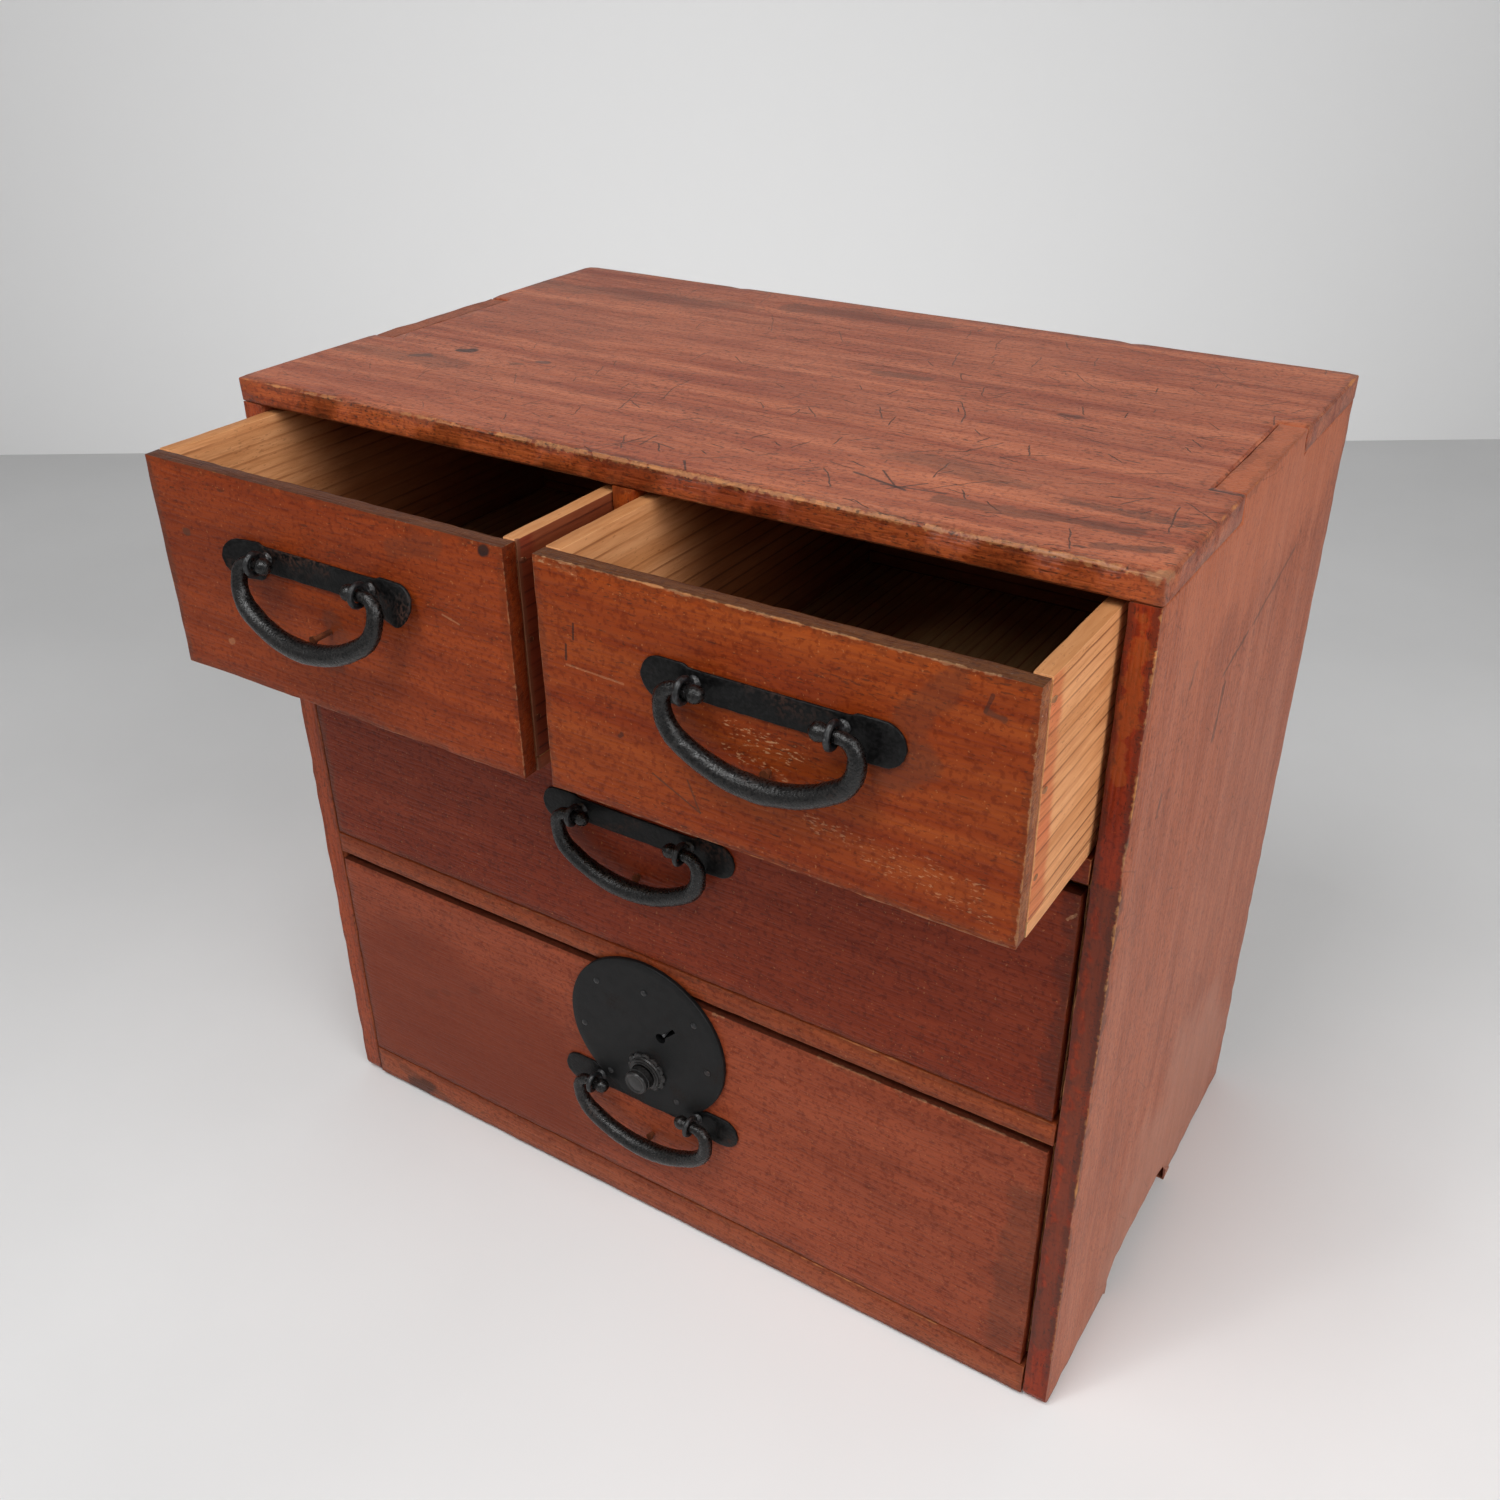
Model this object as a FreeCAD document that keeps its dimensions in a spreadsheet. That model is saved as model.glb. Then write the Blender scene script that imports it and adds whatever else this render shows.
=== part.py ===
import FreeCAD, Part
import math
import os
from types import SimpleNamespace

import Sketcher

# A small East Asian drawer chest: a case of finger-jointed boards with two small
# drawers side by side over two full-width ones, forged iron bail handles, and a round
# lock on the bottom drawer. The small drawers stand a little way out.
# Millimetres, +Z up. The origin lies on the floor, under the middle of the box round
# the chest and its open drawers. Depths are counted from the case's front plane.

SIZES = {
    # The case
    "width": 420,
    "depth": 253,
    "height": 404,
    "top_thickness": 11,
    "side_thickness": 12,
    "housing": 4,
    "housing_stop": 6,
    "foot_round": 5,
    "arch_start": 73,
    "arch_length": 97,
    "arch_height": 14,
    "arch_front_slope": 8,
    "arch_rear_slope": 17,
    "rail_lift": 2,
    "bottom_rail_height": 18,
    "bottom_rail_depth": 16,
    "bottom_board_thickness": 6,
    "bottom_bay": 135.2,
    "lower_rail_height": 12,
    "lower_rail_depth": 34,
    "middle_bay": 115.5,
    "small_bay": 99,
    "shelf_thickness": 11.3,
    "divider_thickness": 11,
    "divider_shift": 0.8,
    "back_thickness": 7,
    "back_rabbet": 5,
    "runner_width": 14,
    # The drawers
    "running_gap": 0.3,
    "side_gap": 1.8,
    "rear_gap": 0.5,
    "bottom_head_gap": 3.9,
    "middle_head_gap": 4.7,
    "small_head_gap": 3,
    "front_thickness": 8,
    "drawer_side_thickness": 7,
    "drawer_back_thickness": 7,
    "drawer_bottom_thickness": 6,
    "back_drop": 5,
    "left_opening": 62.9,
    "right_opening": 61.5,
    # Pegs and nails
    "peg_radius": 1.1,
    "peg_hold": 8,
    "peg_setback": 2.5,
    "peg_slant_length": 9.5,
    "nail_radius": 0.8,
    "nail_hold": 9,
    "nail_head_radius": 1.6,
    "nail_head_height": 0.7,
    "overrun": 3,
    # The handles
    "plate_length": 102,
    "lobe_height": 16.6,
    "lobe_length": 17,
    "waist_height": 11.3,
    "waist_rise": 1.4,
    "waist_slope": 4,
    "plate_thickness": 1.2,
    "eye_inset": 12.25,
    "eye_clearance": 0.35,
    "eye_wire": 1.25,
    "eye_standoff": 1.35,
    "eye_rise": 2.5,
    "neck_radius": 1.6,
    "clinch_length": 8,
    "bail_width": 81.5,
    "bail_drop": 34,
    "bail_shoulder_drop": 8,
    "bail_shoulder_radius": 6,
    "bail_corner_radius": 14,
    "bail_end_radius": 2.6,
    "bail_side_radius": 3.3,
    "bail_middle_radius": 4.6,
    "bail_knob_radius": 3.5,
    "knob_gap": 0.25,
    "left_bail_lift": 13,
    "stud_radius": 1.2,
    "stud_head_radius": 1.8,
    "stud_head_height": 1.2,
    "stud_rise": 3,
    "stud_gap": 0.3,
    "small_handle_drop": 33.8,
    "right_handle_shift": 2.2,
    "middle_handle_drop": 41.3,
    "middle_handle_shift": -1.2,
    "bottom_handle_shift": -2.1,
    # The lock
    "lock_radius": 44,
    "lock_seat": 0.2,
    "lock_thickness": 2.4,
    "lock_drop": 30.6,
    "lock_shift": -1.1,
    "lock_nail_inset": 8,
    "lock_handle_overlap": 3.5,
    "key_radius": 2.7,
    "key_across": 8.8,
    "key_up": 3.8,
    "key_slot_width": 2.2,
    "key_slot_length": 11.5,
    "key_slot_angle": 45,
    "key_post_radius": 0.9,
    "button_drop": 20.7,
    "button_radius": 6.2,
    "button_length": 6,
    "button_bevel": 0.8,
    "button_reach": 13,
    "button_shaft_radius": 3.2,
    "button_shaft_inside": 4,
    "rosette_radius": 9,
    "rosette_thickness": 1.6,
    "petal_radius": 1.9,
    "collar_wall": 1.8,
    "collar_reach": 3.9,
    "lock_gap": 0.3,
    "lock_case_width": 48,
    "lock_case_depth": 11,
    "lock_case_below": 32,
    "lock_case_above": 26.3,
    "lock_case_wall": 1.2,
    "bolt_width": 14,
    "bolt_thickness": 3,
    "bolt_setback": 1.6,
    "bolt_below": 14,
    "bolt_recess": 0.5,
    "strike_width": 32,
    "strike_depth": 12,
    "strike_thickness": 1.2,
    "strike_pocket": 6,
}

# Places along a board, as shares of its length.
FRONT_PEG_SHARES = (0.24, 0.58, 0.91)
BACK_PEG_SHARES = (0.2, 0.52, 0.84)
BOTTOM_PEG_SHARES = (0.12, 0.5, 0.88)
BACK_EDGE_NAIL_SHARES = (0.06, 0.28, 0.5, 0.72, 0.94)
BACK_ROW_NAIL_SHARES = (0.25, 0.5, 0.75)
RUNNER_NAIL_SHARES = (0.15, 0.5, 0.85)
# Each nail of the lock plate: its angle, and its distance as a share of the nail circle.
LOCK_NAIL_SHARES = {36: 0.97, 89: 0.76, 140: 0.99, 191: 1.04, 234: 1.07, 297: 1.01, 352: 0.98}
# How much of the bail's thickening happens in its corners, as a share.
CORNER_SHARE = 0.5
ARC_STEPS = 3
PETAL_COUNT = 12
SLANT = 45

AXIS_X = FreeCAD.Vector(1, 0, 0)
AXIS_Y = FreeCAD.Vector(0, 1, 0)
AXIS_Z = FreeCAD.Vector(0, 0, 1)
UPRIGHT = FreeCAD.Rotation()


class Size:
    """A length that knows both its number and the sheet formula that it comes from."""

    def __init__(self, number, formula):
        self.number = number
        self.formula = formula

    def __float__(self):
        return float(self.number)

    def joined(self, sign, other, number):
        return Size(number, f"({self.formula} {sign} {as_size(other).formula})")

    def __add__(self, other):
        return self.joined("+", other, self.number + float(other))

    def __sub__(self, other):
        return self.joined("-", other, self.number - float(other))

    def __mul__(self, other):
        return self.joined("*", other, self.number * float(other))

    def __truediv__(self, other):
        return self.joined("/", other, self.number / float(other))

    def __neg__(self):
        return as_size(0) - self

    __radd__ = __add__
    __rmul__ = __mul__


def as_size(value):
    """The value itself, or a plain number as a size."""
    return value if isinstance(value, Size) else Size(value, repr(value))


def sine(angle):
    """The sine of a size in degrees."""
    return Size(math.sin(math.radians(float(angle))), f"sin({as_size(angle).formula} * 1 deg)")


def cosine(angle):
    """The cosine of a size in degrees."""
    return Size(math.cos(math.radians(float(angle))), f"cos({as_size(angle).formula} * 1 deg)")


doc = FreeCAD.newDocument("drawer_chest")
sheet = doc.addObject("Spreadsheet::Sheet", "Sizes")
for row, (alias, number) in enumerate(SIZES.items(), start=1):
    sheet.set(f"A{row}", str(number))
    sheet.setAlias(f"A{row}", alias)
doc.recompute()
mm = SimpleNamespace(**{alias: Size(number, f"Sizes.{alias}") for alias, number in SIZES.items()})

pieces = []

# Levels and walls that the pieces share
inner_left = mm.side_thickness - mm.width / 2
inner_right = mm.width / 2 - mm.side_thickness
ceiling = mm.height - mm.top_thickness
bottom_floor = mm.rail_lift + mm.bottom_rail_height
# The bays share the height between the boards in the ratio of their own heights
bay_fit = (
    ceiling - bottom_floor - mm.lower_rail_height - mm.shelf_thickness
) / (mm.bottom_bay + mm.middle_bay + mm.small_bay)
lower_rail_z = bottom_floor + mm.bottom_bay * bay_fit
middle_floor = lower_rail_z + mm.lower_rail_height
shelf_z = middle_floor + mm.middle_bay * bay_fit
small_floor = shelf_z + mm.shelf_thickness
divider_left = mm.divider_shift - mm.divider_thickness / 2
divider_right = divider_left + mm.divider_thickness
back_y = mm.depth - mm.back_thickness
drawer_length = back_y - mm.rear_gap

# The eyes go round the bail's ends and stand clear of the strap plate, and a knob on each
# end stands beside its eye
eye_radius = mm.bail_end_radius + mm.eye_clearance + mm.eye_wire
eye_reach = mm.plate_thickness + mm.eye_standoff + eye_radius + mm.eye_wire
eye_side = mm.bail_width / 2 - mm.eye_inset
knob_side = eye_side - mm.eye_wire - mm.knob_gap - mm.bail_knob_radius
# How far the bail's middle hangs below the pivot, and how far the open left one reaches
bail_fall = mm.bail_drop - mm.bail_middle_radius
left_bail_reach = eye_reach + bail_fall * sine(mm.left_bail_lift) + mm.bail_middle_radius
front_y = (mm.left_opening + left_bail_reach - mm.depth) / 2


def place(thing, x, y, z, turn=UPRIGHT):
    """Put an object at a place counted from the case's front plane, bound to the sheet."""
    thing.Placement = FreeCAD.Placement(FreeCAD.Vector(), turn)
    thing.setExpression("Placement.Base.x", as_size(x).formula)
    thing.setExpression("Placement.Base.y", (front_y + y).formula)
    thing.setExpression("Placement.Base.z", as_size(z).formula)
    return thing


def box(name, sizes, x, y, z, turn=UPRIGHT):
    """A squared board: its size along X, Y and Z and its lowest corner."""
    board = doc.addObject("Part::Box", name)
    for side, size in zip(("Length", "Width", "Height"), sizes):
        board.setExpression(side, as_size(size).formula)
    return place(board, x, y, z, turn)


def rod(name, radius, length, x, y, z, direction=AXIS_Z):
    """A round rod that starts at a place and runs along a direction."""
    cylinder = doc.addObject("Part::Cylinder", name)
    cylinder.setExpression("Radius", as_size(radius).formula)
    cylinder.setExpression("Height", as_size(length).formula)
    return place(cylinder, x, y, z, FreeCAD.Rotation(AXIS_Z, direction))


def fuse(name, shapes):
    """One solid out of several that overlap."""
    fusion = doc.addObject("Part::MultiFuse", name)
    fusion.Shapes = shapes
    return fusion


def group(name, shapes):
    """Several separate solids as one object."""
    compound = doc.addObject("Part::Compound", name)
    compound.Links = shapes
    return compound


def cut(name, base, tools):
    """A piece with each tool's space cut out of it."""
    for number, tool in enumerate(tools):
        cutting = doc.addObject("Part::Cut", f"{name}_cut_{number}")
        cutting.Base = base
        cutting.Tool = tool
        base = cutting
    return base


def keep(name, thing):
    """Name a finished sub-part, which gives its file its name."""
    thing.Label = name
    pieces.append(thing)
    return thing


def outline(body, role, corners, arcs):
    """A closed sketch through the corners; arcs maps a corner to its round edge's centre."""
    sketch = body.newObject("Sketcher::SketchObject", f"{body.Name}_outline")
    plane = next(item for item in body.Origin.OriginFeatures if item.Role == role)
    sketch.AttachmentSupport = [(plane, "")]
    sketch.MapMode = "FlatFace"
    spots = [FreeCAD.Vector(float(across), float(up), 0) for across, up in corners]
    for index, start in enumerate(spots):
        end = spots[(index + 1) % len(spots)]
        if index in arcs:
            centre = FreeCAD.Vector(*(float(value) for value in arcs[index]), 0)
            circle = Part.Circle(centre, AXIS_Z, (start - centre).Length)
            turns = [math.atan2(spot.y - centre.y, spot.x - centre.x) for spot in (start, end)]
            sketch.addGeometry(Part.ArcOfCircle(circle, *turns), False)
        else:
            sketch.addGeometry(Part.LineSegment(start, end), False)
    for index in range(len(spots)):
        following = (index + 1) % len(spots)
        sketch.addConstraint(Sketcher.Constraint("Coincident", index, 2, following, 1))
    for index, corner in enumerate(corners):
        pin_point(sketch, index, 1, corner)
    for index, centre in arcs.items():
        pin_point(sketch, index, 3, centre[:1])
    return sketch


def pin_point(sketch, index, point, spot):
    """Hold a sketch point at its distances from the sketch's origin."""
    for kind, axis, size in zip(("DistanceX", "DistanceY"), (-2, -1), spot):
        if float(size) == 0:
            sketch.addConstraint(Sketcher.Constraint("PointOnObject", index, point, axis))
            continue
        rule = Sketcher.Constraint(kind, -1, 1, index, point, float(size))
        number = sketch.addConstraint(rule)
        sketch.renameConstraint(number, f"{kind}_{index}_{point}")
        sketch.setExpression(f"Constraints.{kind}_{index}_{point}", as_size(size).formula)


def padded_body(name, role, corners, arcs, thickness, backwards):
    """A body that is a flat outline given a thickness."""
    body = doc.addObject("PartDesign::Body", name)
    sketch = outline(body, role, corners, arcs)
    pad = body.newObject("PartDesign::Pad", f"{name}_pad")
    pad.Profile = sketch
    pad.setExpression("Length", as_size(thickness).formula)
    pad.Reversed = backwards
    return body


def turned_body(name, corners):
    """A body turned about its Y axis, from half of its outline."""
    body = doc.addObject("PartDesign::Body", name)
    sketch = outline(body, "XY_Plane", corners, {})
    turning = body.newObject("PartDesign::Revolution", f"{name}_turning")
    turning.Profile = sketch
    turning.ReferenceAxis = (sketch, ["V_Axis"])
    return body


def side_board(name, x):
    """A side board: two feet with an arch between them, and one finger up through the top."""
    arch_end = mm.arch_start + mm.arch_length
    finger = mm.depth / 3
    corners = [
        (mm.foot_round, 0),
        (mm.arch_start, 0),
        (mm.arch_start + mm.arch_front_slope, mm.arch_height),
        (arch_end - mm.arch_rear_slope, mm.arch_height),
        (arch_end, 0),
        (mm.depth, 0),
        (mm.depth, ceiling),
        (finger * 2, ceiling),
        (finger * 2, mm.height),
        (finger, mm.height),
        (finger, ceiling),
        (0, ceiling),
        (0, mm.foot_round),
    ]
    round_corner = {len(corners) - 1: (mm.foot_round, mm.foot_round)}
    body = padded_body(name, "YZ_Plane", corners, round_corner, mm.side_thickness, False)
    return place(body, x, 0, 0)


def housed_board(name, depth, thickness, z):
    """A board across the case whose ends are let into the sides, out of sight in front."""
    inner_width = inner_right - inner_left
    board = box(f"{name}_middle", (inner_width, depth, thickness), inner_left, 0, z)
    tongue = box(
        f"{name}_tongues",
        (inner_width + mm.housing * 2, depth - mm.housing_stop, thickness),
        inner_left - mm.housing, mm.housing_stop, z,
    )
    return fuse(name, [board, tongue])


def build_case():
    """The boards of the case, let into each other, and the nails that hold them."""
    inner_width = inner_right - inner_left
    left = side_board("left_board", -mm.width / 2)
    right = side_board("right_board", inner_right)
    bottom_rail = housed_board(
        "bottom_rail_board", mm.bottom_rail_depth, mm.bottom_rail_height, mm.rail_lift,
    )
    bottom_board = box(
        "bottom_board_blank",
        (
            inner_width + mm.housing * 2,
            back_y - mm.bottom_rail_depth,
            mm.bottom_board_thickness,
        ),
        inner_left - mm.housing, mm.bottom_rail_depth, bottom_floor - mm.bottom_board_thickness,
    )
    lower_rail = housed_board(
        "lower_rail_board", mm.lower_rail_depth, mm.lower_rail_height, lower_rail_z,
    )
    shelf = housed_board("shelf_board", back_y, mm.shelf_thickness, shelf_z)
    divider = box(
        "divider_board",
        (mm.divider_thickness, back_y, ceiling - small_floor + mm.housing * 2),
        divider_left, 0, small_floor - mm.housing,
    )
    back_bottom = bottom_floor - mm.bottom_board_thickness
    back = box(
        "back_blank",
        (inner_width + mm.back_rabbet * 2, mm.back_thickness, ceiling - back_bottom),
        inner_left - mm.back_rabbet, back_y, back_bottom,
    )
    top = box("top_blank", (mm.width, mm.depth, mm.top_thickness), -mm.width / 2, 0, ceiling)
    runner_length = back_y - mm.lower_rail_depth
    runners = {}
    for side, x in (("left", inner_left), ("right", inner_right - mm.runner_width)):
        runners[side] = box(
            f"{side}_runner_blank", (mm.runner_width, runner_length, mm.lower_rail_height),
            x, mm.lower_rail_depth, lower_rail_z,
        )
    nails = case_nails(back_bottom, runner_length)
    let_in = [bottom_rail, bottom_board, lower_rail, shelf, back, nails]
    keep("left_side", cut("left_side", left, let_in))
    keep("right_side", cut("right_side", right, let_in))
    keep("top_board", cut("top_board", top, [left, right, divider]))
    keep("bottom_rail", bottom_rail)
    keep("bottom_board", cut("bottom_board", bottom_board, [nails]))
    keep("upper_shelf", cut("upper_shelf", shelf, [divider, nails]))
    keep("divider", divider)
    keep("back_panel", cut("back_panel", back, [nails]))
    for side, runner in runners.items():
        keep(f"{side}_runner", cut(f"{side}_runner", runner, [nails]))
    keep("case_nails", nails)
    return lower_rail


def case_nails(back_bottom, runner_length):
    """Iron nails through the back panel and through the two runners."""
    nails = []
    length = mm.back_thickness + mm.nail_hold
    panel_height = ceiling - back_bottom
    for side, x in (("left", inner_left), ("right", inner_right)):
        outward = -1 if side == "left" else 1
        column = x + mm.back_rabbet / 2 * outward
        for number, share in enumerate(BACK_EDGE_NAIL_SHARES):
            height = back_bottom + panel_height * share
            nails.append(case_nail(f"back_{side}_{number}", length, column, mm.depth, height, -AXIS_Y))
        start = x - mm.runner_width * outward
        for number, share in enumerate(RUNNER_NAIL_SHARES):
            nails.append(
                case_nail(
                    f"runner_{side}_{number}", mm.runner_width + mm.nail_hold, start,
                    mm.lower_rail_depth + runner_length * share,
                    lower_rail_z + mm.lower_rail_height / 2, AXIS_X * outward,
                )
            )
    inner_width = inner_right - inner_left
    shelf_middle = shelf_z + mm.shelf_thickness / 2
    bottom_middle = bottom_floor - mm.bottom_board_thickness / 2
    for level, height in (("shelf", shelf_middle), ("bottom", bottom_middle)):
        for number, share in enumerate(BACK_ROW_NAIL_SHARES):
            across = inner_left + inner_width * share
            nails.append(case_nail(f"back_{level}_{number}", length, across, mm.depth, height, -AXIS_Y))
    return group("case_nail_group", nails)


def case_nail(name, length, x, y, z, direction):
    """One nail driven in flush, with its flat head."""
    shaft = rod(f"{name}_shaft", mm.nail_radius, length, x, y, z, direction)
    head = rod(f"{name}_head", mm.nail_head_radius, mm.nail_head_height, x, y, z, direction)
    return fuse(f"{name}_nail", [shaft, head])


def drawer_pegs(name, left, right, front, floor, height):
    """Wooden pegs through a drawer's sides and bottom, trimmed flush with the drawer."""
    pegs = []
    length = drawer_length - mm.front_thickness
    rear = front + drawer_length - mm.drawer_back_thickness / 2
    slant = math.radians(SLANT)
    through = mm.drawer_side_thickness + mm.peg_hold + mm.overrun
    slant_run = mm.peg_slant_length + mm.overrun
    for side, face, inward in (("left", left, 1), ("right", right, -1)):
        outside = face - mm.overrun * inward
        joint = front + mm.front_thickness + mm.peg_setback + mm.overrun
        along = FreeCAD.Vector(inward * math.cos(slant), -math.sin(slant), 0)
        for number, share in enumerate(FRONT_PEG_SHARES):
            pegs.append(
                rod(f"{name}_{side}_front_peg_{number}", mm.peg_radius, slant_run,
                    outside, joint, floor + height * share, along)
            )
        for number, share in enumerate(BACK_PEG_SHARES):
            pegs.append(
                rod(f"{name}_{side}_back_peg_{number}", mm.peg_radius, through,
                    outside, rear, floor + height * share, AXIS_X * inward)
            )
        for number, share in enumerate(BOTTOM_PEG_SHARES):
            pegs.append(
                rod(f"{name}_{side}_bottom_peg_{number}", mm.peg_radius,
                    mm.drawer_bottom_thickness + mm.peg_hold + mm.overrun,
                    face + mm.drawer_side_thickness / 2 * inward,
                    front + mm.front_thickness + length * share, floor - mm.overrun)
            )
    space = box(f"{name}_peg_space", (right - left, drawer_length, height), left, front, floor)
    trimmed = doc.addObject("Part::Common", f"{name}_trimmed_pegs")
    trimmed.Base = group(f"{name}_peg_group", pegs)
    trimmed.Tool = space
    return trimmed


def build_drawer(name, left, right, opening, floor, height, handle_x, handle_z, lift, front_tools):
    """A drawer of five boards with its pegs and its handle."""
    front = as_size(0) - opening
    width = right - left
    length = drawer_length - mm.front_thickness
    rear = front + drawer_length
    wall_floor = floor + mm.drawer_bottom_thickness
    wall_height = height - mm.drawer_bottom_thickness
    pegs = drawer_pegs(name, left, right, front, floor, height)
    eye_pins, stud = build_handle(name, handle_x, front, handle_z, lift)
    face = box(f"{name}_front_blank", (width, mm.front_thickness, height), left, front, floor)
    side_size = (mm.drawer_side_thickness, length, wall_height)
    wall_start = front + mm.front_thickness
    blanks = {
        "left_side": box(f"{name}_left_blank", side_size, left, wall_start, wall_floor),
        "right_side": box(
            f"{name}_right_blank", side_size,
            right - mm.drawer_side_thickness, wall_start, wall_floor,
        ),
        "back": box(
            f"{name}_back_blank",
            (
                width - mm.drawer_side_thickness * 2,
                mm.drawer_back_thickness,
                wall_height - mm.back_drop,
            ),
            left + mm.drawer_side_thickness, rear - mm.drawer_back_thickness, wall_floor,
        ),
        "bottom": box(
            f"{name}_bottom_blank", (width, length, mm.drawer_bottom_thickness),
            left, wall_start, floor,
        ),
    }
    keep(f"{name}_front", cut(f"{name}_front", face, [pegs, eye_pins, stud] + front_tools))
    for part, blank in blanks.items():
        keep(f"{name}_{part}", cut(f"{name}_{part}", blank, [pegs]))
    keep(f"{name}_pegs", pegs)


def plate_body(name, x, y, z):
    """A handle's strap plate: a narrow waist between two lobes with round ends."""
    half = mm.plate_length / 2
    lobe = mm.lobe_height / 2
    centre = half - lobe
    shoulder = half - mm.lobe_length
    waist = shoulder - mm.waist_slope
    waist_top = mm.waist_rise + mm.waist_height / 2
    waist_bottom = mm.waist_rise - mm.waist_height / 2
    corners = [
        (-centre, -lobe),
        (-shoulder, -lobe),
        (-waist, waist_bottom),
        (waist, waist_bottom),
        (shoulder, -lobe),
        (centre, -lobe),
        (centre, lobe),
        (shoulder, lobe),
        (waist, waist_top),
        (-waist, waist_top),
        (-shoulder, lobe),
        (-centre, lobe),
    ]
    ends = {5: (centre, 0), len(corners) - 1: (-centre, 0)}
    body = padded_body(name, "XZ_Plane", corners, ends, mm.plate_thickness, False)
    return place(body, x, y, z)


def eye_pin(name, x, y, z):
    """A split pin: its ring eye in front, its neck through the board, its legs bent flat."""
    ring = doc.addObject("Part::Torus", f"{name}_ring")
    ring.setExpression("Radius1", eye_radius.formula)
    ring.setExpression("Radius2", mm.eye_wire.formula)
    place(ring, x, y - eye_reach, z, FreeCAD.Rotation(AXIS_Z, AXIS_X))
    neck_front = y - eye_reach + eye_radius
    clinch = y + mm.front_thickness + mm.neck_radius
    neck = rod(f"{name}_neck", mm.neck_radius, clinch - neck_front, x, neck_front, z, AXIS_Y)
    legs = rod(
        f"{name}_legs", mm.neck_radius, mm.clinch_length * 2,
        x, clinch, z - mm.clinch_length,
    )
    return fuse(f"{name}_pin", [ring, neck, legs])


def bail_stations():
    """Half of the bail's middle line: places from its straight end to the middle, with radii."""
    spread = mm.bail_width / 2 - mm.bail_side_radius
    turn = float(mm.bail_shoulder_radius)
    corner = float(mm.bail_corner_radius)
    across = float(spread)
    fall = float(bail_fall)
    shoulder = float(mm.bail_shoulder_drop)
    end_radius = float(mm.bail_end_radius)
    side_radius = float(mm.bail_side_radius)
    middle_radius = float(mm.bail_middle_radius)
    # The long bottom arc meets the corner arc where their centres line up.
    depth = fall - shoulder
    reach = across - corner
    bottom = (reach * reach + depth * depth - corner * corner) / (2 * (depth - corner))
    rise = bottom - fall
    tilt = math.atan2(reach, rise + shoulder)
    stations = [(turn - across, 0, end_radius, AXIS_X)]
    quarter = math.radians(90)
    growth = middle_radius - side_radius
    for step in range(1, ARC_STEPS + 1):
        way = step / ARC_STEPS
        radius = end_radius + (side_radius - end_radius) * way
        stations.append(arc_station(turn - across, -turn, turn, quarter * (1 + way), radius))
    for step in range(ARC_STEPS + 1):
        way = step / ARC_STEPS
        radius = side_radius + growth * CORNER_SHARE * way
        bend = quarter * 2 + (quarter - tilt) * way
        stations.append(arc_station(corner - across, -shoulder, corner, bend, radius))
    for step in range(1, ARC_STEPS + 1):
        way = step / ARC_STEPS
        radius = side_radius + growth * (CORNER_SHARE + (1 - CORNER_SHARE) * way)
        stations.append(arc_station(0, rise, bottom, quarter * 3 - tilt * (1 - way), radius))
    return stations


def arc_station(centre_x, centre_z, arc_radius, bend, radius):
    """A place on an arc of the bail's middle line, with its direction."""
    x = centre_x + arc_radius * math.cos(bend)
    z = centre_z + arc_radius * math.sin(bend)
    return (x, z, radius, FreeCAD.Vector(math.sin(bend), 0, -math.cos(bend)))


def bail_shape():
    """The forged bail about its pivot: a tapering bar with a round knob on each inner end."""
    half = bail_stations()
    whole = half + [(-x, z, radius, FreeCAD.Vector(way.x, 0, -way.z))
                    for x, z, radius, way in reversed(half[:-1])]
    rings = []
    for x, z, radius, way in whole:
        circle = Part.Circle(FreeCAD.Vector(x, 0, z), way, radius)
        # Every ring starts at the front, so the bar isn't twisted between them.
        circle.XAxis = -AXIS_Y
        rings.append(Part.Wire([circle.toShape()]))
    bar = Part.makeLoft(rings, True, False)
    end_radius = float(mm.bail_end_radius)
    knob_radius = float(mm.bail_knob_radius)
    bend_start = abs(half[0][0])
    ends = []
    for side in (-1, 1):
        knob_centre = FreeCAD.Vector(side * float(knob_side), 0, 0)
        straight = bend_start - float(knob_side)
        outward = AXIS_X * side
        ends.append(Part.makeCylinder(end_radius, straight, knob_centre, outward))
        ends.append(Part.makeSphere(knob_radius, knob_centre, outward))
    return bar.fuse(ends)


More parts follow.
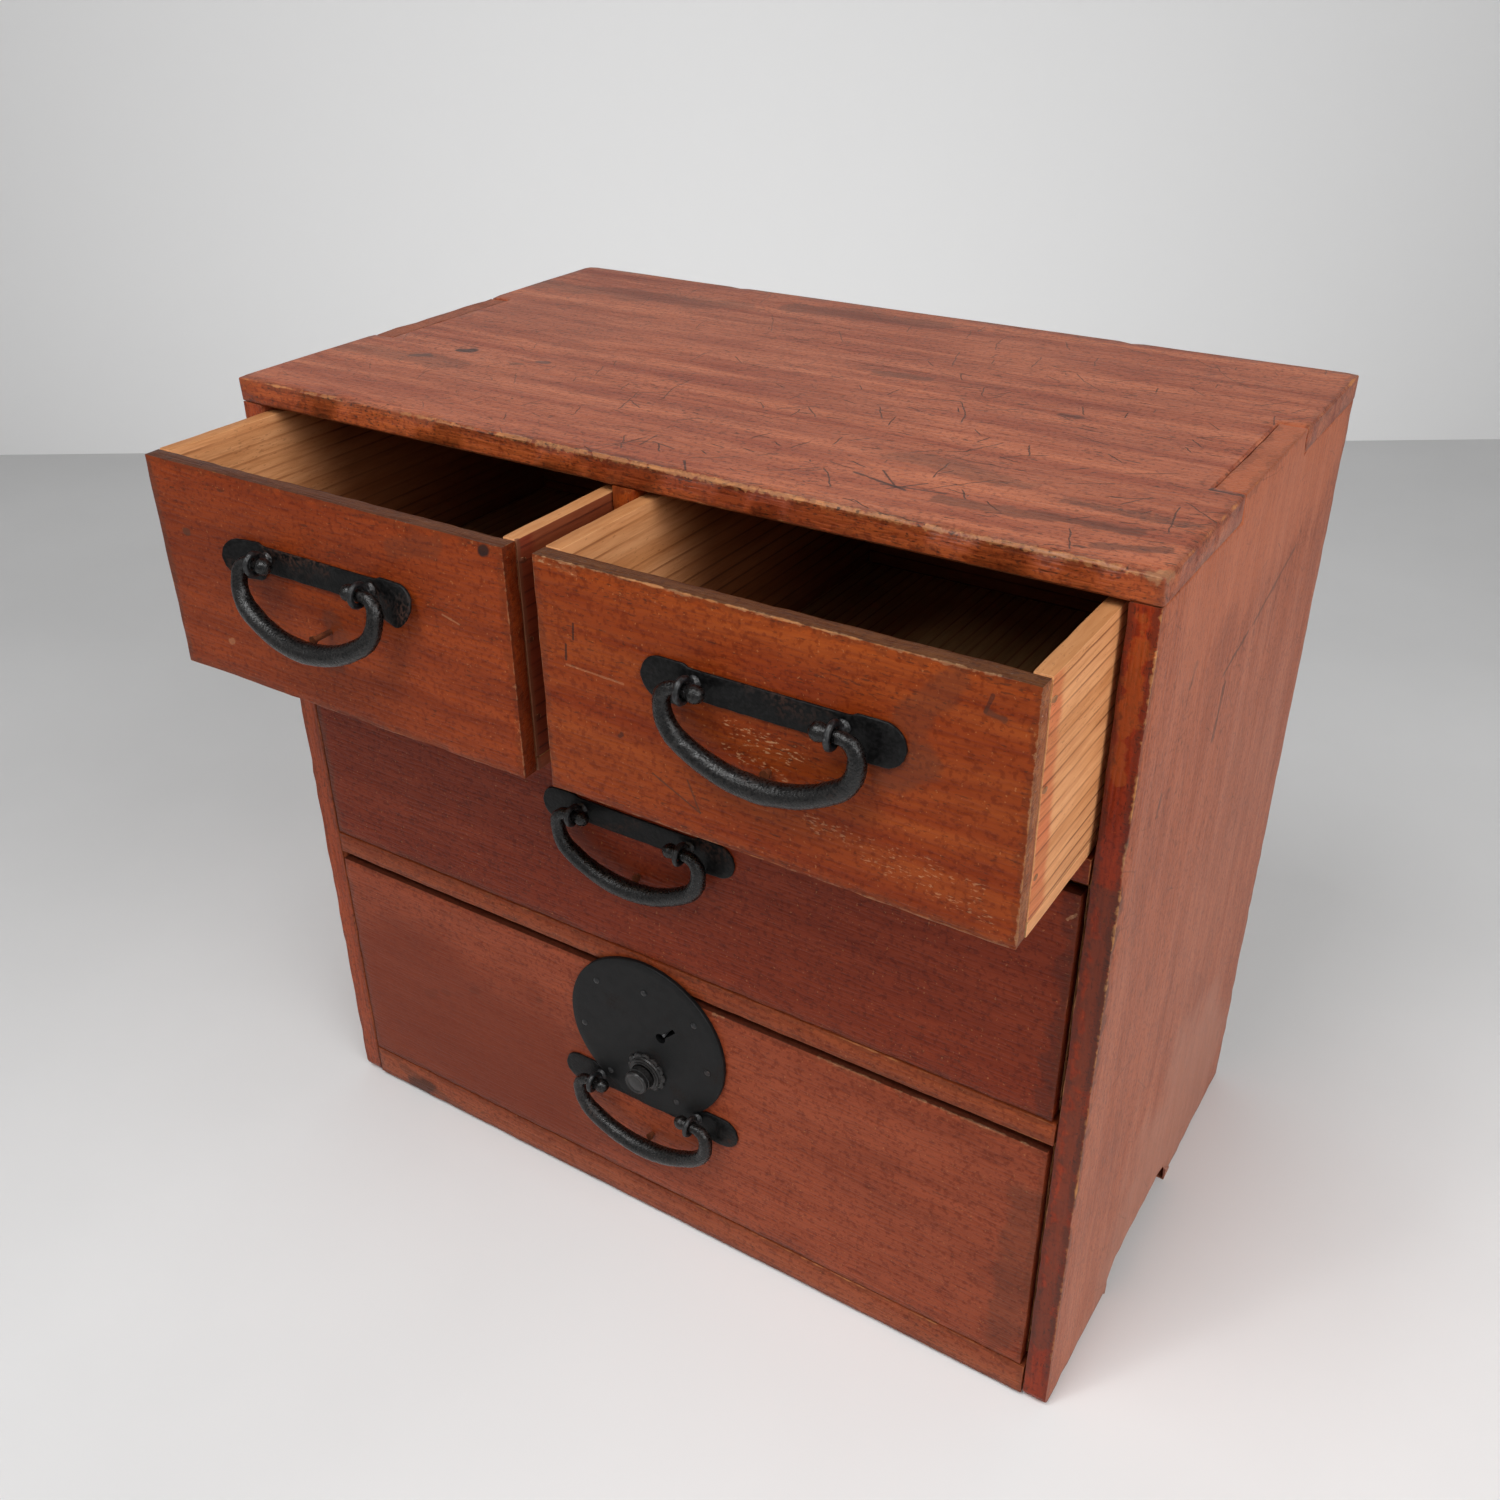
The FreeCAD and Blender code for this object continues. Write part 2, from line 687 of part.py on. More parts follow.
def build_handle(name, x, y, z, lift):
    """A handle: strap plate, two eye pins, bail and the stud that the bail rests by."""
    pivot_z = z + mm.eye_rise
    pins = []
    for side, shift in (("left", -eye_side), ("right", eye_side)):
        pins.append(eye_pin(f"{name}_{side}_eye", x + shift, y, pivot_z))
    eye_pins = keep(f"{name}_eye_pins", group(f"{name}_eye_pin_pair", pins))
    plate = plate_body(f"{name}_strap", x, y, z)
    keep(f"{name}_handle_plate", cut(f"{name}_handle_plate", plate, [eye_pins]))
    bail = doc.addObject("Part::Feature", f"{name}_bail")
    bail.Shape = bail_shape()
    place(bail, x, y - eye_reach, pivot_z, FreeCAD.Rotation(-AXIS_X, float(lift)))
    bail.setExpression("Placement.Rotation.Angle", f"{as_size(lift).formula} * 1 deg")
    keep(f"{name}_bail", bail)
    swing = bail_fall * sine(lift)
    stud_reach = eye_reach + swing - mm.bail_middle_radius - mm.stud_gap
    stud_z = pivot_z - bail_fall * cosine(lift) + mm.stud_rise
    tip = y - stud_reach
    shaft = rod(
        f"{name}_stud_shaft", mm.stud_radius, stud_reach + mm.front_thickness,
        x, tip, stud_z, AXIS_Y,
    )
    head = rod(
        f"{name}_stud_head", mm.stud_head_radius, mm.stud_head_height, x, tip, stud_z, AXIS_Y,
    )
    stud = keep(f"{name}_stop_stud", fuse(f"{name}_stud", [shaft, head]))
    return eye_pins, stud


def keyhole(name, x, y, z, depth):
    """The keyhole's space: a round hole with a slot that leans up to the right."""
    hole_x = x + mm.key_across
    hole_z = z + mm.key_up
    hole = rod(f"{name}_hole", mm.key_radius, depth, hole_x, y, hole_z, AXIS_Y)
    lean = FreeCAD.Rotation(-AXIS_Y, float(mm.key_slot_angle))
    slot = box(
        f"{name}_slot", (mm.key_slot_length, depth, mm.key_slot_width),
        hole_x + mm.key_slot_width / 2 * sine(mm.key_slot_angle), y,
        hole_z - mm.key_slot_width / 2 * cosine(mm.key_slot_angle), lean,
    )
    slot.setExpression("Placement.Rotation.Angle", f"{mm.key_slot_angle.formula} * 1 deg")
    return fuse(f"{name}_space", [hole, slot])


def lock_holes(x, z):
    """What the lock needs cut through the bottom drawer's front, as tools."""
    start = -mm.lock_thickness - mm.lock_seat - mm.overrun
    depth = mm.front_thickness + mm.overrun - start
    key_space = keyhole("lock_key", x, start, z, depth)
    shaft_space = rod(
        "lock_shaft_space", mm.button_shaft_radius + mm.lock_gap, depth,
        x, start, z - mm.button_drop, AXIS_Y,
    )
    nails = lock_nails(x, z)
    return key_space, shaft_space, nails


def lock_nails(x, z):
    """Small nails round the lock plate's rim."""
    nails = []
    face = -mm.lock_seat - mm.lock_thickness
    circle = mm.lock_radius - mm.lock_nail_inset
    for number, (angle, share) in enumerate(LOCK_NAIL_SHARES.items()):
        nail_x = x + circle * share * cosine(angle)
        nail_z = z + circle * share * sine(angle)
        shaft = rod(
            f"lock_nail_{number}_shaft", mm.nail_radius,
            mm.lock_thickness + mm.lock_seat + mm.front_thickness / 2,
            nail_x, face, nail_z, AXIS_Y,
        )
        head = doc.addObject("Part::Cone", f"lock_nail_{number}_head")
        head.setExpression("Radius1", mm.nail_head_radius.formula)
        head.setExpression("Radius2", mm.nail_radius.formula)
        head.setExpression("Height", mm.nail_head_height.formula)
        place(head, nail_x, face, nail_z, FreeCAD.Rotation(AXIS_Z, -AXIS_Y))
        nails.append(fuse(f"lock_nail_{number}", [shaft, head]))
    return group("lock_nail_group", nails)


def build_lock(x, z, key_space, shaft_space, nails, lower_rail):
    """The lock: disc, rosette and button outside, case and bolt inside, strike above."""
    face = -mm.lock_seat - mm.lock_thickness
    button_z = z - mm.button_drop
    disc = rod("lock_disc", mm.lock_radius, mm.lock_thickness, x, face, z, AXIS_Y)
    strap = doc.getObject("bottom_drawer_strap")
    keep("lock_plate", cut("lock_plate", disc, [strap, key_space, shaft_space, nails]))
    keep("lock_nails", nails)
    petals = [
        rod(
            f"rosette_petal_{number}", mm.petal_radius, mm.rosette_thickness,
            x + mm.rosette_radius * cosine(360 / PETAL_COUNT * number),
            face - mm.rosette_thickness,
            button_z + mm.rosette_radius * sine(360 / PETAL_COUNT * number), AXIS_Y,
        )
        for number in range(PETAL_COUNT)
    ]
    bore = mm.button_radius + mm.lock_gap
    base = rod(
        "rosette_base", mm.rosette_radius, mm.rosette_thickness,
        x, face - mm.rosette_thickness, button_z, AXIS_Y,
    )
    collar = rod(
        "rosette_collar", bore + mm.collar_wall, mm.collar_reach,
        x, face - mm.collar_reach, button_z, AXIS_Y,
    )
    bore_space = rod(
        "rosette_bore", bore, mm.collar_reach + mm.overrun,
        x, face - mm.collar_reach - mm.overrun, button_z, AXIS_Y,
    )
    flower = fuse("rosette_solid", petals + [base, collar])
    keep("lock_rosette", cut("lock_rosette", flower, [bore_space]))
    shaft_end = mm.front_thickness + mm.button_shaft_inside
    head_back = mm.button_length - mm.button_reach
    button = turned_body(
        "button_body",
        [
            (0, -mm.button_reach),
            (mm.button_radius - mm.button_bevel, -mm.button_reach),
            (mm.button_radius, mm.button_bevel - mm.button_reach),
            (mm.button_radius, head_back),
            (mm.button_shaft_radius, head_back),
            (mm.button_shaft_radius, shaft_end),
            (0, shaft_end),
        ],
    )
    keep("lock_button", place(button, x, 0, button_z))
    build_lock_case(x, z)
    build_strike(x, lower_rail)


def build_lock_case(x, z):
    """The iron case behind the drawer's front, open towards it, and the bolt inside."""
    wall = mm.lock_case_wall
    left = x - mm.lock_case_width / 2
    low = z - mm.lock_case_below
    tall = mm.lock_case_below + mm.lock_case_above
    shell = box(
        "lock_case_shell", (mm.lock_case_width, mm.lock_case_depth, tall),
        left, mm.front_thickness, low,
    )
    hollow = box(
        "lock_case_hollow",
        (
            mm.lock_case_width - wall * 2,
            mm.lock_case_depth - wall + mm.overrun,
            tall - wall * 2,
        ),
        left + wall, mm.front_thickness - mm.overrun, low + wall,
    )
    bolt_y = mm.front_thickness + mm.bolt_setback
    bolt_low = z - mm.bolt_below
    bolt_top = lower_rail_z - mm.bottom_head_gap - mm.bolt_recess
    slot = box(
        "lock_case_slot",
        (
            mm.bolt_width + mm.lock_gap * 2,
            mm.bolt_thickness + mm.lock_gap * 2,
            wall + mm.overrun * 2,
        ),
        x - mm.bolt_width / 2 - mm.lock_gap, bolt_y - mm.lock_gap, low + tall - wall - mm.overrun,
    )
    post_length = mm.front_thickness + mm.lock_case_depth - wall + mm.lock_seat
    post = rod(
        "key_post", mm.key_post_radius, post_length,
        x + mm.key_across, -mm.lock_seat, z + mm.key_up, AXIS_Y,
    )
    open_case = cut("lock_case_open", shell, [hollow, slot])
    keep("lock_case", fuse("lock_case_solid", [open_case, post]))
    bolt = box(
        "bolt_bar", (mm.bolt_width, mm.bolt_thickness, bolt_top - bolt_low),
        x - mm.bolt_width / 2, bolt_y, bolt_low,
    )
    keep("lock_bolt", bolt)


def build_strike(x, lower_rail):
    """The iron strike let into the lower rail, over the bolt, and the rail cut for both."""
    bolt_y = mm.front_thickness + mm.bolt_setback
    strike_y = bolt_y + mm.bolt_thickness / 2 - mm.strike_depth / 2
    plate = box(
        "strike_blank", (mm.strike_width, mm.strike_depth, mm.strike_thickness),
        x - mm.strike_width / 2, strike_y, lower_rail_z,
    )
    pocket = box(
        "strike_pocket",
        (
            mm.bolt_width + mm.lock_gap * 2,
            mm.bolt_thickness + mm.lock_gap * 2,
            mm.strike_pocket + mm.overrun,
        ),
        x - mm.bolt_width / 2 - mm.lock_gap, bolt_y - mm.lock_gap, lower_rail_z - mm.overrun,
    )
    keep("lock_strike", cut("lock_strike", plate, [pocket]))
    keep("lower_rail", cut("lower_rail", lower_rail, [plate, pocket]))


def build_chest():
    """The whole chest: case, four drawers with their handles, and the lock."""
    lower_rail = build_case()
    wide_right = inner_right - mm.side_gap
    wide_left = inner_left + mm.running_gap
    middle = (wide_left + wide_right) / 2
    small_height = ceiling - small_floor - mm.running_gap - mm.small_head_gap
    small_z = small_floor + mm.running_gap
    small_handle_z = small_z + small_height - mm.small_handle_drop
    left_right = divider_left - mm.running_gap
    right_left = divider_right + mm.running_gap
    build_drawer(
        "left_drawer", wide_left, left_right, mm.left_opening, small_z, small_height,
        (wide_left + left_right) / 2, small_handle_z, mm.left_bail_lift, [],
    )
    build_drawer(
        "right_drawer", right_left, wide_right, mm.right_opening, small_z, small_height,
        (right_left + wide_right) / 2 + mm.right_handle_shift, small_handle_z, 0, [],
    )
    middle_z = middle_floor + mm.running_gap
    middle_top = shelf_z - mm.middle_head_gap
    build_drawer(
        "middle_drawer", wide_left, wide_right, 0, middle_z, middle_top - middle_z,
        middle + mm.middle_handle_shift, middle_top - mm.middle_handle_drop, 0, [],
    )
    bottom_z = bottom_floor + mm.running_gap
    bottom_top = lower_rail_z - mm.bottom_head_gap
    lock_x = middle + mm.lock_shift
    lock_z = bottom_top - mm.lock_drop
    key_space, shaft_space, nails = lock_holes(lock_x, lock_z)
    build_drawer(
        "bottom_drawer", wide_left, wide_right, 0, bottom_z, bottom_top - bottom_z,
        middle + mm.bottom_handle_shift, lock_z - mm.lock_radius + mm.lock_handle_overlap, 0,
        [key_space, shaft_space, nails],
    )
    build_lock(lock_x, lock_z, key_space, shaft_space, nails, lower_rail)


def check_document():
    """Stop if any object failed to compute, or a finished piece has no sound solid."""
    for thing in doc.Objects:
        if "Invalid" in thing.State or "Error" in thing.State:
            raise RuntimeError(f"{thing.Label} failed: {thing.State}")
    for piece in pieces:
        shape = piece.Shape
        if shape.isNull() or not shape.isValid() or not shape.Solids:
            raise RuntimeError(f"{piece.Label} has no sound solid")


build_chest()
doc.recompute()
check_document()
os.makedirs("parts", exist_ok=True)
for piece in pieces:
    piece.Shape.exportStep(f"parts/{piece.Label}.step")
print(f"{len(pieces)} pieces written, front plane at Y {float(front_y):.3f}")
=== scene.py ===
import logging
import math
from contextlib import contextmanager
from dataclasses import dataclass
from enum import Enum
from typing import Callable, Iterator, Sequence

import bmesh
import bpy
from mathutils import Matrix, Vector


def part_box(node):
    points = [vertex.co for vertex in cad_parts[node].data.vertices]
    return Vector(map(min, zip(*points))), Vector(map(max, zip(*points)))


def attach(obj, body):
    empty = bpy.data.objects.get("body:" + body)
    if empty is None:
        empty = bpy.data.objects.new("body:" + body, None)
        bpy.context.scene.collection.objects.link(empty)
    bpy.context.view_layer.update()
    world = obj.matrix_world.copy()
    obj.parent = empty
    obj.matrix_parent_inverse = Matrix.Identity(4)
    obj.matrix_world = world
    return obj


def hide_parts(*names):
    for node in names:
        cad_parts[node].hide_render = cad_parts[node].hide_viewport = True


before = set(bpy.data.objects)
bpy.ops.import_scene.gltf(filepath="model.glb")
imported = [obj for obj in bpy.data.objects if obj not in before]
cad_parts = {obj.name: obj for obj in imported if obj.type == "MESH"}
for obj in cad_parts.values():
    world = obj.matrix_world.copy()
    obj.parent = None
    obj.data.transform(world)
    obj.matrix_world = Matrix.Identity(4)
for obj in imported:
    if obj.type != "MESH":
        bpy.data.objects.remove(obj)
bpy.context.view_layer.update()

# The looks of a small drawer chest: worn, red-stained softwood boards, pale drawer
# boxes, and forged black iron. Metres, +Z up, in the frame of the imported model.

MM = 0.001
HALF_WIDTH = 0.210
FRONT_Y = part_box("lower_rail")[0].y
SHARP_ANGLE = math.radians(40)
MERGE_DISTANCE = 1e-6
FLUSH_DISTANCE = 1e-5

Colour = tuple[float, float, float]
Object = bpy.types.Object

log = logging.getLogger("drawer_chest")


def chest_point(across: float, depth: float, height: float) -> Vector:
    """A place in the chest in millimetres from its left side, front plane and floor."""
    return Vector((across * MM - HALF_WIDTH, depth * MM + FRONT_Y, height * MM))


# Modelling


def deselect_all() -> None:
    """Deselect every object."""
    bpy.ops.object.select_all(action="DESELECT")


def choose(piece: Object) -> None:
    """Select one object alone and make it active."""
    deselect_all()
    piece.select_set(True)
    bpy.context.view_layer.objects.active = piece


def named(piece: Object, name: str) -> Object:
    """Name an object and its mesh."""
    piece.name = name
    piece.data.name = name
    return piece


def added(name: str) -> Object:
    """Name the object that an operator has just added, with its place put into its mesh."""
    bpy.ops.object.transform_apply(location=True, rotation=True, scale=True)
    return named(bpy.context.active_object, name)


@contextmanager
def editing(piece: Object, kind: str) -> Iterator[None]:
    """Edit one object's mesh.

    Args:
        piece: The object to edit.
        kind: The elements that are picked: VERT, EDGE or FACE.
    """
    choose(piece)
    bpy.ops.object.mode_set(mode="EDIT")
    bpy.ops.mesh.select_mode(type=kind)
    yield
    bpy.ops.object.mode_set(mode="OBJECT")


def pick(piece: Object, kind: str, test: Callable[..., bool]) -> None:
    """Select the elements of a mesh in edit mode that pass a test.

    Args:
        piece: The object in edit mode.
        kind: verts, edges or faces.
        test: Says whether an element is wanted.
    """
    bpy.ops.mesh.select_all(action="DESELECT")
    for item in getattr(bmesh.from_edit_mesh(piece.data), kind):
        if test(item):
            item.select_set(True)
    bmesh.update_edit_mesh(piece.data)


def edge_runs_along(axis: int) -> Callable[..., bool]:
    """A test for edges that run along an axis."""

    def test(edge: bmesh.types.BMEdge) -> bool:
        """Whether an edge runs along the axis."""
        way = edge.verts[1].co - edge.verts[0].co
        return abs(way[axis]) > 0.99 * way.length

    return test


def edge_is_sharp(edge: bmesh.types.BMEdge) -> bool:
    """Whether an edge turns by more than the sharp angle."""
    return len(edge.link_faces) == 2 and edge.calc_face_angle() > SHARP_ANGLE


def squared(name: str, low: Vector, high: Vector) -> Object:
    """A box between two corners, as a start for a board."""
    deselect_all()
    bpy.ops.mesh.primitive_cube_add(size=1, location=(low + high) / 2, scale=high - low)
    return added(name)


def divide(piece: Object, cuts: Sequence[int]) -> None:
    """Divide a box with this many cuts along each axis."""
    with editing(piece, "EDGE"):
        for axis, count in enumerate(cuts):
            if count > 0:
                pick(piece, "edges", edge_runs_along(axis))
                bpy.ops.mesh.subdivide(number_cuts=count)


def soften(piece: Object, width: float, segments: int = 2) -> None:
    """Bevel a mesh's sharp edges."""
    with editing(piece, "EDGE"):
        pick(piece, "edges", edge_is_sharp)
        bpy.ops.mesh.bevel(offset=width, segments=segments, profile=0.5, affect="EDGES")


def change(piece: Object, kind: str, **settings: object) -> None:
    """Give an object a modifier with its settings, and apply it."""
    modifier = piece.modifiers.new(kind.lower(), kind)
    for label, setting in settings.items():
        setattr(modifier, label, setting)
    choose(piece)
    bpy.ops.object.modifier_apply(modifier=modifier.name)


def carve(piece: Object, cutters: Sequence[Object]) -> None:
    """Cut other objects out of one, and remove them."""
    for cutter in cutters:
        change(piece, "BOOLEAN", operation="DIFFERENCE", object=cutter, solver="EXACT")
        bpy.data.objects.remove(cutter)


def joined(name: str, parts: Sequence[Object]) -> Object:
    """Several objects as one."""
    choose(parts[0])
    for part in parts[1:]:
        part.select_set(True)
    bpy.ops.object.join()
    return named(bpy.context.active_object, name)


def copied(node: str, name: str) -> Object:
    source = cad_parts[node]
    twin = source.copy()
    twin.data = source.data.copy()
    bpy.context.scene.collection.objects.link(twin)
    twin.parent = None
    for key in [key for key in twin.keys() if key.startswith("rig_")]:
        del twin[key]
    return named(twin, name)


def cloud_texture(size: float) -> bpy.types.Texture:
    """A soft noise of one size, made once."""
    label = f"soft_noise_{round(size / MM * 10)}"
    texture = bpy.data.textures.get(label)
    if texture is None:
        texture = bpy.data.textures.new(label, "CLOUDS")
        texture.noise_scale = size
    return texture


def push_by_noise(
    piece: Object, depth: float, size: float, middle: float = 0.5,
    weigh: Callable[[bpy.types.MeshVertex], float] | None = None,
) -> None:
    """Move a mesh's surface in and out with a soft noise.

    Args:
        piece: The object to move.
        depth: How far the noise moves it from trough to crest.
        size: The size of the noise's lumps.
        middle: The noise's value that stays in place. At 1 the surface only moves inwards.
        weigh: Gives each vertex its share of the move, or all of it if left out.
    """
    settings = {"texture": cloud_texture(size), "strength": depth, "mid_level": middle}
    if weigh is not None:
        weights = piece.vertex_groups.new(name="moved")
        for vertex in piece.data.vertices:
            share = weigh(vertex)
            if share > 0:
                weights.add([vertex.index], share, "REPLACE")
        settings["vertex_group"] = weights.name
    change(piece, "DISPLACE", texture_coords="GLOBAL", **settings)
    piece.vertex_groups.clear()


def tidy(piece: Object, angle: float = 35) -> Object:
    """Merge doubles, turn the faces outwards and shade the mesh smooth up to an angle."""
    with editing(piece, "VERT"):
        bpy.ops.mesh.select_all(action="SELECT")
        bpy.ops.mesh.remove_doubles(threshold=MERGE_DISTANCE)
        bpy.ops.mesh.delete_loose(use_verts=True, use_edges=True, use_faces=False)
        bpy.ops.mesh.select_all(action="SELECT")
        bpy.ops.mesh.normals_make_consistent(inside=False)
    bpy.ops.object.shade_smooth_by_angle(angle=math.radians(angle))
    return piece


def turned(
    name: str, outline: Sequence[tuple[float, float]], centre: Vector, steps: int,
) -> Object:
    """A solid turned about a line along Y.

    Args:
        name: The object's name.
        outline: Its closed half section as distances from the line and places along Y.
        centre: A point on the line.
        steps: How many steps the turn has.

    Returns:
        The turned object.
    """
    deselect_all()
    bpy.ops.mesh.primitive_circle_add(vertices=len(outline), radius=1, fill_type="NOTHING")
    piece = added(name)
    for vertex, (radius, along) in zip(piece.data.vertices, outline):
        vertex.co = centre + Vector((radius, along, 0))
    with editing(piece, "EDGE"):
        bpy.ops.mesh.select_all(action="SELECT")
        bpy.ops.mesh.spin(steps=steps, angle=2 * math.pi, center=centre, axis=(0, 1, 0))
    return tidy(piece)


Ring = list[Vector]


def ring_round(centre: Vector, side: Vector, up: Vector, sides: int) -> Ring:
    """Points round an ellipse, from its two half axes."""
    turns = [2 * math.pi * number / sides for number in range(sides)]
    return [centre + side * math.cos(turn) + up * math.sin(turn) for turn in turns]


def swept(name: str, rings: Sequence[Ring]) -> Object:
    """A bar extruded from ring to ring, with closed ends."""
    deselect_all()
    sides = len(rings[0])
    bpy.ops.mesh.primitive_circle_add(vertices=sides, radius=1, fill_type="NGON")
    piece = added(name)
    for vertex, place in zip(piece.data.vertices, rings[0]):
        vertex.co = place
    with editing(piece, "FACE"):
        bpy.ops.mesh.select_all(action="SELECT")
        for before, after in zip(rings, rings[1:]):
            bpy.ops.mesh.extrude_region_move()
            mesh = bmesh.from_edit_mesh(piece.data)
            for vertex in (item for item in mesh.verts if item.select):
                near = min(range(sides), key=lambda index: (before[index] - vertex.co).length)
                vertex.co = after[near]
            bmesh.update_edit_mesh(piece.data)
    return tidy(piece, 60)


@dataclass(frozen=True)
class Nick:
    """A knock or chip in a board: its place in the chest, reach, depth and direction."""

    place: tuple[float, float, float]
    reach: float
    depth: float
    way: tuple[float, float, float]

    def press(self, piece: Object) -> None:
        """Push the vertices near the nick inwards."""
        centre = chest_point(*self.place)
        way = Vector(self.way).normalized()
        for vertex in piece.data.vertices:
            near = (vertex.co - centre).length / (self.reach * MM)
            if near < 1:
                vertex.co += way * self.depth * MM * (1 - near * near) ** 2


# Shader nodes

Socket = bpy.types.NodeSocket
Value = float | Sequence[float] | Socket

# The Mix node's numbers for its two colours and for its result
FIRST_COLOUR, SECOND_COLOUR, MIXED_COLOUR = 6, 7, 2


class NodeSheet:
    """Places nodes in one node tree and links them."""

    def __init__(self, tree: bpy.types.NodeTree) -> None:
        """Work in a node tree."""
        self.tree = tree

    def feed(self, node: bpy.types.Node, inputs: dict[str | int, Value]) -> None:
        """Set a node's inputs, by name or number, or link them to sockets."""
        for key, value in inputs.items():
            if isinstance(value, Socket):
                self.tree.links.new(value, node.inputs[key])
            else:
                node.inputs[key].default_value = value

    def put(
        self, kind: str, inputs: dict[str | int, Value], **settings: object,
    ) -> Sequence[Socket]:
        """Add a node.

        Args:
            kind: The node's type.
            inputs: A value or a socket to link for each input, by name or number.
            settings: Attributes of the node.

        Returns:
            The node's outputs.
        """
        node = self.tree.nodes.new(kind)
        for label, setting in settings.items():
            setattr(node, label, setting)
        self.feed(node, inputs)
        return node.outputs

    def group(self, tree: bpy.types.NodeTree, inputs: dict[str, Value]) -> Sequence[Socket]:
        """Place a node group."""
        return self.put("ShaderNodeGroup", inputs, node_tree=tree)

    def math(self, kind: str, *values: Value, clamp: bool = False) -> Socket:
        """A sum on numbers."""
        inputs = dict(enumerate(values))
        return self.put("ShaderNodeMath", inputs, operation=kind, use_clamp=clamp)[0]

    def times(self, first: Value, second: Value) -> Socket:
        """One number times another."""
        return self.math("MULTIPLY", first, second)

    def minus(self, first: Value, second: Value) -> Socket:
        """One number less another."""
        return self.math("SUBTRACT", first, second)

    def scaled(self, value: Value, factor: Value, shift: Value) -> Socket:
        """A number times a factor, and then moved."""
        return self.math("MULTIPLY_ADD", value, factor, shift)

    def vector(self, kind: str, *values: Value) -> Socket:
        """A sum on vectors."""
        return self.put("ShaderNodeVectorMath", dict(enumerate(values)), operation=kind)[0]

    def measure(self, kind: str, *values: Value) -> Socket:
        """A number that vectors give: a length, a distance or a product."""
        inputs = dict(enumerate(values))
        return self.put("ShaderNodeVectorMath", inputs, operation=kind)["Value"]

    def axes(self, place: Value) -> Sequence[Socket]:
        """A vector's three numbers."""
        return self.put("ShaderNodeSeparateXYZ", {0: place})

    def noise(
        self, place: Value, scale: float | Sequence[float], detail: float = 3, spread: float = 0,
    ) -> Socket:
        """Soft noise in lumps to the metre, with one scale or one for each axis."""
        scales = (scale,) * 3 if isinstance(scale, (int, float)) else scale
        inputs = {
            "Vector": self.vector("MULTIPLY", place, scales), "Scale": 1.0, "Detail": detail,
            "Distortion": spread,
        }
        return self.put("ShaderNodeTexNoise", inputs)[0]

    def step(self, value: Value, low: float, high: float) -> Socket:
        """A soft step from 0 to 1 as a value passes from low to high, which may be lower."""
        rising = low < high
        inputs = {
            "Value": value, "From Min": min(low, high), "From Max": max(low, high),
            "To Min": 0.0 if rising else 1.0, "To Max": 1.0 if rising else 0.0,
        }
        return self.put("ShaderNodeMapRange", inputs, interpolation_type="SMOOTHSTEP")[0]

    def mix(
        self, share: Value, first: Value, second: Value, strength: Value | None = None,
        kind: str = "MIX",
    ) -> Socket:
        """A colour between two colours, by a share and, if it has one, a strength."""
        if strength is not None:
            share = self.times(share, strength)
        inputs = {0: share, FIRST_COLOUR: as_colour(first), SECOND_COLOUR: as_colour(second)}
        return self.put("ShaderNodeMix", inputs, data_type="RGBA", blend_type=kind)[MIXED_COLOUR]

    def shade(
        self, share: Value, colour: Value, tint: Value, strength: Value | None = None,
    ) -> Socket:
        """A colour multiplied by a tint, by a share and a strength."""
        return self.mix(share, colour, tint, strength, "MULTIPLY")


def as_colour(value: Value) -> Value:
    """A colour with its fourth number, or the socket itself."""
    return value if isinstance(value, Socket) else (*value, 1.0)


def new_group(
    name: str, vectors: str, numbers: str, outputs: str,
) -> tuple[NodeSheet, Sequence[Socket], bpy.types.Node]:
    """An empty node group with its sockets.

    Args:
        name: The group's name.
        vectors: The names of its vector inputs.
        numbers: The names of its number inputs.
        outputs: The names of its outputs, which are numbers.

    Returns:
        A sheet to work on, the sockets that the group is given, and its output node.
    """
    tree = bpy.data.node_groups.new(name, "ShaderNodeTree")
    for labels, way, kind in (
        (vectors, "INPUT", "NodeSocketVector"), (numbers, "INPUT", "NodeSocketFloat"),
        (outputs, "OUTPUT", "NodeSocketFloat"),
    ):
        for label in labels.split():
            tree.interface.new_socket(name=label, in_out=way, socket_type=kind)
    given = tree.nodes.new("NodeGroupInput").outputs
    return NodeSheet(tree), given, tree.nodes.new("NodeGroupOutput")


